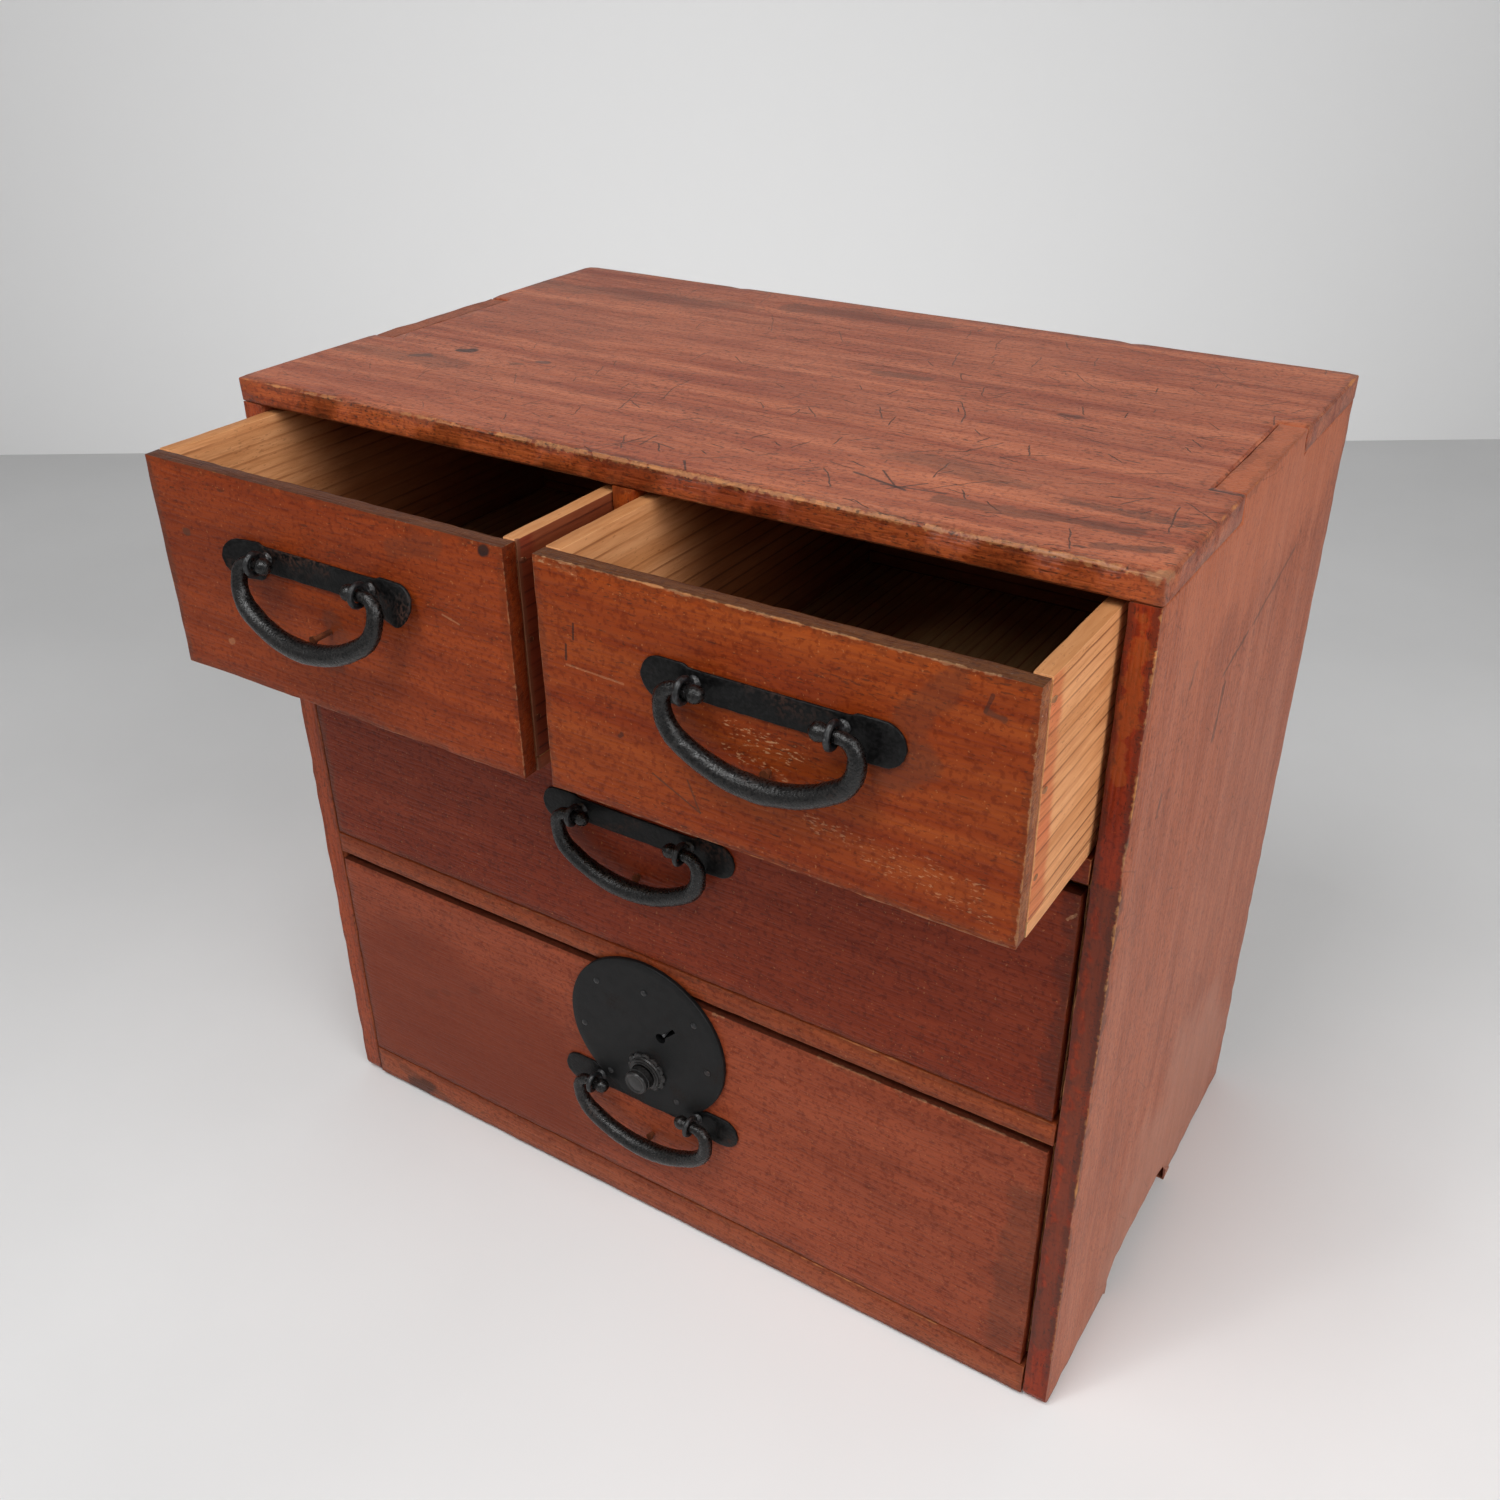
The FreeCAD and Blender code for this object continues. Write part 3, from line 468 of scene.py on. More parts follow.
class Effects:
    """The node groups that several finishes use."""

    def __init__(self) -> None:
        """Build each group once."""
        self.arris = self.build_arris()
        self.timber = self.build_timber()
        self.mark = self.build_mark()
        self.hairlines = self.build_hairlines()
        self.rings = self.build_rings()

    def build_arris(self) -> bpy.types.NodeTree:
        """The distance of a point on a box's surface from the box's nearest edge."""
        sheet, given, result = new_group("arris_distance", "Place Centre Half", "", "Distance")
        size = sheet.vector("ABSOLUTE", sheet.vector("SUBTRACT", given["Place"], given["Centre"]))
        parts = sheet.axes(sheet.vector("SUBTRACT", given["Half"], size))
        pairs = [
            sheet.math("MAXIMUM", parts[first], parts[second])
            for first, second in ((0, 1), (1, 2), (0, 2))
        ]
        nearest = sheet.math("MINIMUM", sheet.math("MINIMUM", pairs[0], pairs[1]), pairs[2])
        sheet.feed(result, {"Distance": nearest})
        return sheet.tree

    def build_timber(self) -> bpy.types.NodeTree:
        """Grain that runs along X: broad streaks, fibres, and short dark pores."""
        sheet, given, result = new_group("timber_grain", "Place", "", "Streak Fibre Pore Blotch")
        place = given["Place"]
        crowd = sheet.noise(place, (22, 50, 50))
        pores = []
        for stretch, height in (((300, 1100, 1100), 0.76), ((130, 560, 560), 0.81)):
            limit = sheet.scaled(crowd, -0.24, height)
            pores.append(sheet.step(sheet.minus(sheet.noise(place, stretch), limit), 0.0, 0.05))
        sheet.feed(result, {
            "Streak": sheet.noise(place, (8, 90, 90), 6, 0.3),
            "Fibre": sheet.noise(place, (70, 700, 700), 5),
            "Pore": sheet.math("MAXIMUM", *pores),
            "Blotch": sheet.noise(place, (11, 30, 30), 5, 0.5),
        })
        return sheet.tree

    def build_mark(self) -> bpy.types.NodeTree:
        """A ragged mark along a line between two points."""
        sheet, given, result = new_group(
            "ragged_mark", "Place Start End", "Width Ragged Size Broken", "Mask",
        )
        place = given["Place"]
        line = sheet.vector("SUBTRACT", given["End"], given["Start"])
        reach = sheet.vector("SUBTRACT", place, given["Start"])
        square = sheet.math("ADD", sheet.measure("DOT_PRODUCT", line, line), 1e-12)
        along = sheet.math("DIVIDE", sheet.measure("DOT_PRODUCT", reach, line), square, clamp=True)
        nearest = sheet.put(
            "ShaderNodeVectorMath", {0: line, "Scale": along}, operation="SCALE",
        )[0]
        gap = sheet.measure("LENGTH", sheet.vector("SUBTRACT", reach, nearest))
        far = sheet.math("DIVIDE", gap, given["Width"])
        inputs = {"Vector": place, "Scale": given["Size"], "Detail": 3.0}
        noise = sheet.put("ShaderNodeTexNoise", inputs)[0]
        lumps = sheet.times(sheet.minus(noise, 0.5), given["Ragged"])
        mask = sheet.step(sheet.math("ADD", far, lumps), 1.1, 0.6)
        specks = sheet.step(sheet.noise(place, (420, 420, 1300)), 0.58, 0.66)
        gaps = sheet.times(sheet.minus(1.0, specks), given["Broken"])
        sheet.feed(result, {"Mask": sheet.times(mask, sheet.minus(1.0, gaps))})
        return sheet.tree

    def build_hairlines(self) -> bpy.types.NodeTree:
        """Thin, nearly straight scratches on the XY plane, at most one in each cell."""
        sheet, given, result = new_group("hairline_scratches", "Place", "", "Line Cut")
        masks = []
        for number, (cells, length, lean, spread) in enumerate((
            (22, 0.019, 0.7, 0.8), (30, 0.014, -0.9, 1.0), (44, 0.010, 0.0, 3.1),
            (26, 0.016, 1.9, 0.8), (52, 0.007, 0.4, 3.1), (70, 0.005, -0.4, 0.8),
        )):
            place = sheet.vector("ADD", given["Place"], (0.37 * number, 0.23 * number, 0))
            cell = sheet.put(
                "ShaderNodeTexVoronoi", {"Vector": place, "Scale": cells},
                voronoi_dimensions="2D",
            )
            chance = sheet.put("ShaderNodeSeparateColor", {0: cell["Color"]})
            gap = sheet.vector("SUBTRACT", place, cell["Position"])
            angle = sheet.scaled(chance[0], spread, lean)
            turn = sheet.put("ShaderNodeVectorRotate", {"Vector": gap, "Angle": angle})[0]
            along, across, _ = sheet.axes(turn)
            bend = sheet.scaled(chance[1], 26.0, -13.0)
            bow = sheet.times(sheet.times(along, along), bend)
            wobble = sheet.scaled(sheet.noise(place, 170, 2), 0.002, bow)
            centred = sheet.math("ADD", sheet.math("ADD", across, wobble), -0.001)
            line = sheet.step(sheet.math("ABSOLUTE", centred), 0.00042, 0.00015)
            reach = sheet.scaled(chance[2], 1.5 * length, -0.5 * length)
            over = sheet.minus(sheet.math("ABSOLUTE", along), reach)
            masks.append(sheet.times(line, sheet.step(over, 0.0, -0.002)))
        for label, (first, *others) in (("Line", masks[:4]), ("Cut", masks[4:])):
            for mask in others:
                first = sheet.math("MAXIMUM", first, mask)
            sheet.feed(result, {label: first})
        return sheet.tree

    def build_rings(self) -> bpy.types.NodeTree:
        """Growth rings cut lengthwise: thin dark lines along X, spaced across Y."""
        sheet, given, result = new_group("growth_rings", "Place", "Spacing", "Line Late")
        count = sheet.math("DIVIDE", sheet.axes(given["Place"])[1], given["Spacing"])
        sway = sheet.noise(given["Place"], (1.6, 14, 14), 2)
        turn = sheet.math("FRACT", sheet.scaled(sway, 1.5, count))
        line = sheet.times(sheet.step(turn, 0.80, 0.90), sheet.step(turn, 1.0, 0.98))
        sheet.feed(result, {"Line": line, "Late": sheet.math("POWER", turn, 3.0)})
        return sheet.tree


EFFECTS = Effects()


# Finishes


class Cut(Enum):
    """How a board is cut: the axes along its grain, across its width and through it."""

    LYING = (0, 1, 2)
    FACING = (0, 2, 1)
    UPRIGHT = (2, 1, 0)
    UPRIGHT_FACING = (2, 0, 1)
    DEEP = (1, 2, 0)
    DEEP_LYING = (1, 0, 2)


@dataclass(frozen=True)
class Mark:
    """A stain, spot or scratch, or a painted shade or highlight, on a board or on iron, in the
    chest's millimetres.
    """

    start: tuple[float, float, float]
    end: tuple[float, float, float]
    width: float
    colour: Colour
    share: float = 0.8
    ragged: float = 0.8
    size: float = 160
    broken: float = 0.0


def marks_on(axis: int, place: float, *rows: tuple) -> tuple[Mark, ...]:
    """Marks that lie on one flat face.

    Args:
        axis: The axis that the face looks along.
        place: Where the face lies along it, in the chest's millimetres.
        rows: For each mark its start and end in the face, two numbers each, and the rest.

    Returns:
        The marks.
    """

    def lifted(first: float, second: float) -> tuple[float, ...]:
        """A point of the face in the chest."""
        return (*(first, second)[:axis], place, *(first, second)[axis:])

    return tuple(Mark(lifted(*row[:2]), lifted(*row[2:4]), *row[4:]) for row in rows)


@dataclass(frozen=True)
class Tint:
    """A colour that multiplies the faces that look one way."""

    way: tuple[float, float, float]
    colour: Colour
    share: float = 1.0


class MaterialSheet(NodeSheet):
    """The nodes of a material, with its Principled shader and its coordinates."""

    def __init__(self, name: str) -> None:
        """Start a material."""
        self.material = bpy.data.materials.new(name)
        self.material.use_nodes = True
        super().__init__(self.material.node_tree)
        self.shader = self.tree.nodes["Principled BSDF"]
        source = self.put("ShaderNodeTexCoord", {})
        self.place, self.normal = source["Object"], source["Normal"]

    def facing(self, way: Sequence[float]) -> Socket:
        """A mask of the surface that looks one way."""
        return self.step(self.measure("DOT_PRODUCT", self.normal, tuple(way)), 0.55, 0.85)

    def marked(self, colour: Value, marks: Sequence[Mark]) -> Value:
        """A colour with marks laid over it."""
        for mark in marks:
            mask = self.group(EFFECTS.mark, {
                "Place": self.place, "Start": chest_point(*mark.start),
                "End": chest_point(*mark.end), "Width": mark.width * MM, "Ragged": mark.ragged,
                "Size": mark.size, "Broken": mark.broken,
            })["Mask"]
            colour = self.mix(mask, colour, mark.colour, mark.share)
        return colour

    def tinted(self, colour: Value, tints: Sequence[Tint]) -> Value:
        """A colour with tints on the faces that they are for."""
        for tint in tints:
            colour = self.shade(self.facing(tint.way), colour, tint.colour, tint.share)
        return colour

    def finished(
        self, colour: Value, roughness: Value, gloss: float, height: Value, strength: float,
        depth: float,
    ) -> bpy.types.Material:
        """The material, with its shader fed.

        Args:
            colour: The surface's colour.
            roughness: Its roughness.
            gloss: How strongly it mirrors.
            height: Its relief.
            strength: How strongly the relief shows.
            depth: The relief's depth.

        Returns:
            The material.
        """
        inputs = {"Strength": strength, "Distance": depth, "Height": height}
        self.feed(self.shader, {
            "Base Color": colour, "Roughness": roughness, "Specular IOR Level": gloss,
            "Normal": self.put("ShaderNodeBump", inputs)[0],
        })
        return self.material


class WoodSheet(MaterialSheet):
    """The nodes of a wooden finish, with the board's grain and arrises."""

    def __init__(self, name: str, cut: Cut, seed: float, low: Vector, high: Vector) -> None:
        """Start a finish.

        Args:
            name: The material's name.
            cut: How the board is cut.
            seed: Shifts the grain, so that boards differ.
            low: The board's low corner.
            high: Its high corner.
        """
        super().__init__(name)
        self.cut = cut
        parts = self.axes(self.place)
        inputs = {number: parts[axis] for number, axis in enumerate(cut.value)}
        along = self.put("ShaderNodeCombineXYZ", inputs)[0]
        self.grained = self.vector("ADD", along, (seed * 0.71, seed * 0.37, seed * 0.53))
        self.grain = self.group(EFFECTS.timber, {"Place": self.grained})
        box = {"Place": self.place, "Centre": (low + high) / 2, "Half": (high - low) / 2}
        self.edge = self.group(EFFECTS.arris, box)["Distance"]

    def turned_to(self, number: int) -> Socket:
        """How squarely the surface looks along one of the board's own axes."""
        way = [0.0, 0.0, 0.0]
        way[self.cut.value[number]] = 1.0
        return self.math("ABSOLUTE", self.measure("DOT_PRODUCT", self.normal, tuple(way)))


@dataclass(frozen=True)
class StainedWood:
    """Softwood with a red-brown stain, rubbed through at its edges."""

    name: str
    cut: Cut
    light: Colour
    dark: Colour
    worn: Colour = (0.50, 0.21, 0.075)
    grime: Colour = (0.055, 0.017, 0.008)
    wear: float = 0.6
    wear_share: float = 0.55
    blotch: float = 0.22
    pore: float = 0.6
    specks: float = 0.38
    figure: float = 0.6
    grit: float = 0.75
    hairline: float = 0.0
    worked: tuple[float, float, float] | None = None
    dust_and_sheen: float = 0.0
    roughness: float = 0.40
    gloss: float = 0.12
    seed: float = 0.0
    tints: tuple[Tint, ...] = ()
    marks: tuple[Mark, ...] = ()

    def material(self, low: Vector, high: Vector) -> bpy.types.Material:
        """The finish for a board between two corners."""
        if self.cut is Cut.FACING:
            high = high + Vector((0, 0.05, 0))
        sheet = WoodSheet(self.name, self.cut, self.seed, low, high)
        place, grain = sheet.place, sheet.grain

        spread = 0.18 / self.figure
        tone = sheet.step(grain["Streak"], 0.5 - spread, 0.5 + spread)
        colour = sheet.mix(tone, self.dark, self.light)
        spots = sheet.step(sheet.noise(place, 170), 0.60, 0.74)
        colour = sheet.shade(spots, colour, (0.55, 0.45, 0.45), 0.45)
        grit = sheet.step(sheet.noise(place, 520), 0.50, 0.66)
        colour = sheet.shade(grit, colour, (0.62, 0.50, 0.46), self.grit)
        patches = sheet.step(grain["Blotch"], 0.42, 0.72)
        colour = sheet.shade(patches, colour, (0.45, 0.38, 0.42), self.blotch)
        fibre = sheet.step(grain["Fibre"], 0.30, 0.62)
        colour = sheet.shade(sheet.minus(1.0, fibre), colour, (0.78, 0.70, 0.66))
        colour = sheet.mix(grain["Pore"], colour, self.grime, self.pore)
        specks = sheet.step(sheet.noise(place, 700), 0.66, 0.72)
        colour = sheet.mix(specks, colour, self.worn, self.specks)
        # Dust and painted sheen: pale patches that stand in for the greyish sheen of light on the
        # finish, and for dust.
        if self.dust_and_sheen > 0:
            dust_and_sheen_patches = sheet.step(sheet.noise(sheet.grained, (6, 24, 24), 4), 0.40, 0.72)
            colour = sheet.mix(dust_and_sheen_patches, colour, (0.52, 0.25, 0.17), self.dust_and_sheen)
        colour = sheet.marked(sheet.tinted(colour, self.tints), self.marks)
        height = fibre
        if self.hairline > 0:
            scratches = sheet.group(EFFECTS.hairlines, {"Place": sheet.grained})
            share = sheet.step(sheet.turned_to(2), 0.8, 0.95)
            if self.worked is not None:
                far = sheet.measure("DISTANCE", place, chest_point(*self.worked))
                crowd = sheet.scaled(sheet.step(far, 0.28, 0.08), 0.5, 0.5)
                share = sheet.times(share, crowd)
            share = sheet.times(share, self.hairline)
            line, cut = (sheet.times(scratches[label], share) for label in ("Line", "Cut"))
            colour = sheet.mix(line, colour, (0.08, 0.03, 0.018), 0.95)
            colour = sheet.mix(cut, colour, self.grime)
            height = sheet.minus(sheet.minus(fibre, cut), line)

        ragged = sheet.noise(place, 150, 5)
        grime_reach = sheet.scaled(ragged, 0.012, -0.0035)
        grimy = sheet.step(sheet.minus(sheet.edge, grime_reach), 0.0005, -0.0005)
        colour = sheet.mix(grimy, colour, self.grime, 0.28)
        patch = sheet.step(sheet.noise(place, 17, 2), 0.38, 0.62)
        reach = sheet.scaled(ragged, self.wear * 4.5 * MM, -self.wear * 1.6 * MM)
        over = sheet.minus(sheet.edge, sheet.times(reach, patch))
        rubbed = sheet.step(over, 0.0003, -0.0003)
        colour = sheet.mix(rubbed, colour, self.worn, self.wear_share)
        dull = sheet.scaled(grain["Streak"], -0.16, self.roughness + 0.08)
        roughness = sheet.scaled(rubbed, 0.2, dull)
        return sheet.finished(colour, roughness, self.gloss, height, 0.5, 0.25 * MM)


@dataclass(frozen=True)
class BareWood:
    """Pale, unstained softwood with fine dark growth rings."""

    name: str
    cut: Cut
    light: Colour = (0.84, 0.40, 0.175)
    dark: Colour = (0.68, 0.29, 0.108)
    line: Colour = (0.24, 0.075, 0.022)
    spacing: float = 6.0
    line_share: float = 0.85
    soot: float = 0.25
    arris: Colour = (0.70, 0.38, 0.18)
    seed: float = 0.0
    bleed_y: float | None = None
    inside: tuple[float, float, float] = (0.0, 0.0, 1.0)
    # Share of painted shade on the inner faces, deeper inside the drawer
    depth_shade: float = 0.0
    tints: tuple[Tint, ...] = ()
    marks: tuple[Mark, ...] = ()

    def material(self, low: Vector, high: Vector) -> bpy.types.Material:
        """The finish for a board between two corners."""
        sheet = WoodSheet(self.name, self.cut, self.seed, low, high)
        place, grain = sheet.place, sheet.grain
        rings = sheet.group(EFFECTS.rings, {"Place": sheet.grained, "Spacing": self.spacing * MM})
        side_grain = sheet.step(sheet.turned_to(0), 0.8, 0.5)

        tone = sheet.step(grain["Streak"], 0.3, 0.7)
        colour = sheet.mix(tone, self.dark, self.light)
        colour = sheet.shade(rings["Late"], colour, (0.72, 0.55, 0.42), 0.35)
        lined = sheet.times(rings["Line"], sheet.step(grain["Blotch"], 0.25, 0.6))
        colour = sheet.mix(sheet.times(lined, side_grain), colour, self.line, self.line_share)
        fibre = sheet.step(grain["Fibre"], 0.3, 0.65)
        colour = sheet.shade(sheet.minus(1.0, fibre), colour, (0.86, 0.80, 0.74))
        colour = sheet.mix(grain["Pore"], colour, self.line, 0.35)
        sooty = sheet.step(grain["Blotch"], 0.45, 0.75)
        colour = sheet.shade(sooty, colour, (0.35, 0.28, 0.25), self.soot)
        if self.bleed_y is not None:
            parts = sheet.axes(place)
            lean = sheet.scaled(parts[2], 0.05, parts[1])
            ragged = sheet.scaled(sheet.noise(place, (60, 10, 260)), -0.007, lean)
            limit = self.bleed_y + 0.0135
            bled = sheet.step(ragged, limit + 0.003, limit - 0.002)
            bled = sheet.times(bled, sheet.scaled(tone, 0.35, 0.5))
            outward = sheet.facing([-part for part in self.inside])
            colour = sheet.shade(bled, colour, (0.78, 0.40, 0.30), outward)
        rubbed = sheet.step(
            sheet.scaled(sheet.noise(place, 160), -0.0011, sheet.edge), 0.0002, -0.0003,
        )
        colour = sheet.mix(rubbed, colour, self.arris, 0.3)
        # Painted shade: the inner faces darken from the front plane inwards, as in the case's
        # shade; it rides with the drawer.
        if self.depth_shade > 0:
            deep = sheet.step(sheet.axes(place)[1], FRONT_Y - 0.012, FRONT_Y + 0.045)
            deep = sheet.times(deep, sheet.facing(self.inside))
            colour = sheet.shade(deep, colour, (0.24, 0.18, 0.15), self.depth_shade)
        colour = sheet.marked(sheet.tinted(colour, self.tints), self.marks)
        return sheet.finished(colour, 0.62, 0.3, fibre, 0.35, 0.2 * MM)


@dataclass(frozen=True)
class BlackIron:
    """Forged iron, blackened, with some brown rust."""

    name: str
    colour: Colour = (0.004, 0.0042, 0.0045)
    bright: Colour = (0.030, 0.031, 0.033)
    rust: Colour = (0.050, 0.019, 0.010)
    rust_share: float = 0.5
    grain: float = 900
    dent: float = 0.0004
    roughness: float = 0.42
    gloss: float = 0.45
    marks: tuple[Mark, ...] = ()

    def material(self) -> bpy.types.Material:
        """The finish."""
        sheet = MaterialSheet(self.name)
        pits = sheet.noise(sheet.place, self.grain, 4)
        forged = sheet.noise(sheet.place, 170)
        cloud = sheet.noise(sheet.place, 48, 4)
        colour = sheet.mix(sheet.step(pits, 0.35, 0.8), self.colour, self.bright)
        colour = sheet.shade(sheet.step(forged, 0.6, 0.3), colour, (0.55, 0.55, 0.58))
        rusty = sheet.times(sheet.step(cloud, 0.56, 0.72), sheet.step(pits, 0.42, 0.6))
        colour = sheet.mix(rusty, colour, self.rust, self.rust_share)
        colour = sheet.marked(colour, self.marks)
        dull = sheet.scaled(pits, 0.35, self.roughness - 0.16)
        relief = sheet.scaled(forged, 0.8, pits)
        return sheet.finished(
            colour, sheet.scaled(rusty, 0.25, dull), self.gloss, relief, 0.5, self.dent,
        )


# Colours of the chest: its stains and marks, and darker copies of the face stain that carry
# painted shade
TOP_LIGHT = (0.50, 0.152, 0.065)
TOP_DARK = (0.27, 0.058, 0.026)
SIDE_LIGHT = (0.48, 0.134, 0.054)
SIDE_DARK = (0.37, 0.094, 0.038)
FACE_LIGHT = (0.335, 0.067, 0.0105)
FACE_DARK = (0.215, 0.027, 0.003)
# Darker copies of the face colours: painted shade for the shelf's front edge and the middle
# drawer's front, under the small drawers.
SHADED_FACE_LIGHT = (0.24, 0.036, 0.010)
SHADED_FACE_DARK = (0.18, 0.023, 0.006)
BOTTOM_LIGHT = (0.35, 0.076, 0.030)
BOTTOM_DARK = (0.27, 0.052, 0.019)
BLACK = (0.022, 0.012, 0.010)
BROWN = (0.085, 0.030, 0.016)
PALE = (0.62, 0.36, 0.18)


def dress(piece: Object, body: str, slot: str, material: bpy.types.Material, node: str) -> None:
    """Give a finished piece its material, its body and the node that it stands for.

    Args:
        piece: The finished piece.
        body: The body that it moves with.
        slot: The record's material slot; not used.
        material: Its finish.
        node: The node that it replaces.
    """
    piece.data.materials.clear()
    piece.data.materials.append(material)
    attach(piece, body)
    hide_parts(node)
    log.info("%s rides on %s", piece.name, body)


def finish_node(node: str, material: bpy.types.Material) -> None:
    """Give a carried-over node its finish."""
    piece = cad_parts[node]
    if not piece.material_slots:
        piece.data.materials.append(material)
    for place in piece.material_slots:
        place.material = material
    log.info("%s has the finish %s", node, material.name)


def on_arris(vertex: bpy.types.MeshVertex) -> float:
    """A weight of 1 on a board's bevelled edges."""
    return 1.0 if max(abs(part) for part in vertex.normal) < 0.985 else 0.0


@dataclass(frozen=True)
class Board:
    """A planed board that years of use have softened."""

    node: str
    body: str
    slot: str
    finish: StainedWood | BareWood
    low: Vector | None = None
    high: Vector | None = None
    arris: float = 0.8
    wear: float = 1.0
    pitch: float = 6.0

    def corners(self) -> tuple[Vector, Vector]:
        """The board's corners: its own, or those of its node."""
        low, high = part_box(self.node)
        return self.low or low, self.high or high

    def build(self, cutters: Sequence[Object] = ()) -> None:
        """Model and dress the board, with objects cut out of it."""
        low, high = self.corners()
        piece = squared(f"worn_{self.node}", low, high)
        size = high - low
        divide(piece, [min(int(length / (self.pitch * MM)), 80) for length in size])
        soften(piece, self.arris * MM)
        push_by_noise(piece, self.wear * MM, 0.011, 0.95, on_arris)
        push_by_noise(piece, 0.0003, 0.06, 0.5)
        carve(piece, cutters)
        tidy(piece, 50)
        dress(piece, self.body, self.slot, self.finish.material(low, high), self.node)


# The case


CASE_WIDTH = 420
CASE_DEPTH = 253
SIDE_WIDTH = 12
INNER_WIDTH = CASE_WIDTH - SIDE_WIDTH
BACK_DEPTH = 246


@dataclass
class Case:
    """The case of the chest."""

    finger_share: float = 1 / 3
    top_wear: float = 0.9
    side_wear: float = 1.1
    top_pitch: float = 6
    side_pitch: float = 7
    arch_front: tuple[float, float] = (73, 81)
    arch_rear: tuple[float, float] = (153, 170)
    arch_height: float = 13.8
    foot_round: float = 5.0
    rabbet: float = 5.0
    shoulder_reach: float = 1.2
    shoulder_half: float = 5.4
    shoulder_lift: float = 0.02

    def build(self) -> None:
        """Model and dress the whole case."""
        self.build_top()
        self.build_sides()
        self.build_rails()
        self.dress_plain_nodes()

    def plate_of_cells(
        self, name: str, columns: Sequence[float], rows: Sequence[float],
        dropped: Callable[[float, float], bool], lift: Callable[[float, float], Vector],
        thickness: Vector,
    ) -> Object:
        """A board cut out of a grid of cells and given its thickness.

        Args:
            name: The object's name.
            columns: The places of the grid's columns.
            rows: The places of its rows.
            dropped: Whether the cell about a point is cut away.
            lift: Puts a point of the grid in its place in the chest.
            thickness: The way and the length that the cells are extruded.

        Returns:
            The board, with square edges.
        """
        deselect_all()
        bpy.ops.mesh.primitive_grid_add(
            x_subdivisions=len(columns) - 1, y_subdivisions=len(rows) - 1, size=1,
        )
        piece = added(name)
        with editing(piece, "FACE"):
            mesh = bmesh.from_edit_mesh(piece.data)
            for vertex in mesh.verts:
                column = round((vertex.co.x + 0.5) * (len(columns) - 1))
                row = round((vertex.co.y + 0.5) * (len(rows) - 1))
                vertex.co = Vector((columns[column], rows[row], 0))
            bmesh.update_edit_mesh(piece.data)
            pick(piece, "faces", lambda face: dropped(*face.calc_center_median().xy))
            bpy.ops.mesh.delete(type="FACE")
            mesh = bmesh.from_edit_mesh(piece.data)
            for vertex in mesh.verts:
                vertex.co = lift(vertex.co.x, vertex.co.y)
            bmesh.update_edit_mesh(piece.data)
            bpy.ops.mesh.select_all(action="SELECT")
            bpy.ops.mesh.extrude_region_move(TRANSFORM_OT_translate={"value": thickness})
            bpy.ops.mesh.select_all(action="SELECT")
            bpy.ops.mesh.normals_make_consistent(inside=False)
        return piece

    def fingers(self) -> tuple[float, float]:
        """Where the sides' middle finger begins and ends, counted from the front."""
        depth = (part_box("top_board")[1].y - FRONT_Y) / MM
        return depth * self.finger_share, depth * self.finger_share * 2

    def build_top(self) -> None:
        """The top board, notched for the sides' fingers."""
        low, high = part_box("top_board")
        begin, end = self.fingers()
        columns = grid_places([0, SIDE_WIDTH, INNER_WIDTH, CASE_WIDTH], self.top_pitch)
        rows = grid_places([0, begin, end, CASE_DEPTH], self.top_pitch)

        def dropped(across: float, depth: float) -> bool:
            """Whether a cell makes room for a side's finger."""
            return not SIDE_WIDTH <= across <= INNER_WIDTH and begin < depth < end

        piece = self.plate_of_cells(
            "worn_top_board", columns, rows, dropped,
            lambda across, depth: chest_point(across, depth, low.z / MM),
            Vector((0, 0, high.z - low.z)),
        )
        soften(piece, 1.0 * MM, 3)
        for nick in TOP_NICKS:
            nick.press(piece)
        push_by_noise(piece, self.top_wear * MM, 0.012, 0.92, on_arris)
        push_by_noise(piece, 0.0005, 0.07, 0.5)
        for vertex in piece.data.vertices:
            if abs(vertex.co.z - low.z) < 0.25 * MM:
                vertex.co.z = low.z
        tidy(piece, 50)
        dress(piece, "case", "case_wood", TOP_FINISH.material(low, high), "top_board")

    def build_sides(self) -> None:
        """The two side boards: feet with an arch between them, and a finger at the top."""
        begin, end = self.fingers()
        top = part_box("top_board")
        for side, near in (("left", 0), ("right", INNER_WIDTH)):
            low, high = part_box(f"{side}_side")
            arch = (self.arch_front[1], self.arch_rear[0])
            columns = grid_places([0, *arch, CASE_DEPTH, begin, end], self.side_pitch)
            heights = [0, self.arch_height, top[0].z / MM, top[1].z / MM]
            rows = grid_places(heights, self.side_pitch)

            def dropped(depth: float, height: float) -> bool:
                """Whether a cell lies in the arch, or beside the finger."""
                in_arch = arch[0] < depth < arch[1]
                over = height > top[0].z / MM and not begin < depth < end
                return (in_arch and height < self.arch_height) or over

            def lift(depth: float, height: float) -> Vector:
                """A point of the side, with the arch's ends splayed towards the floor."""
                share = max(0.0, 1 - height / self.arch_height)
                for inner, outer in (self.arch_front[::-1], self.arch_rear):
                    if abs(depth - inner) < 0.01:
                        depth += (outer - inner) * share
                return chest_point(near, depth, height)

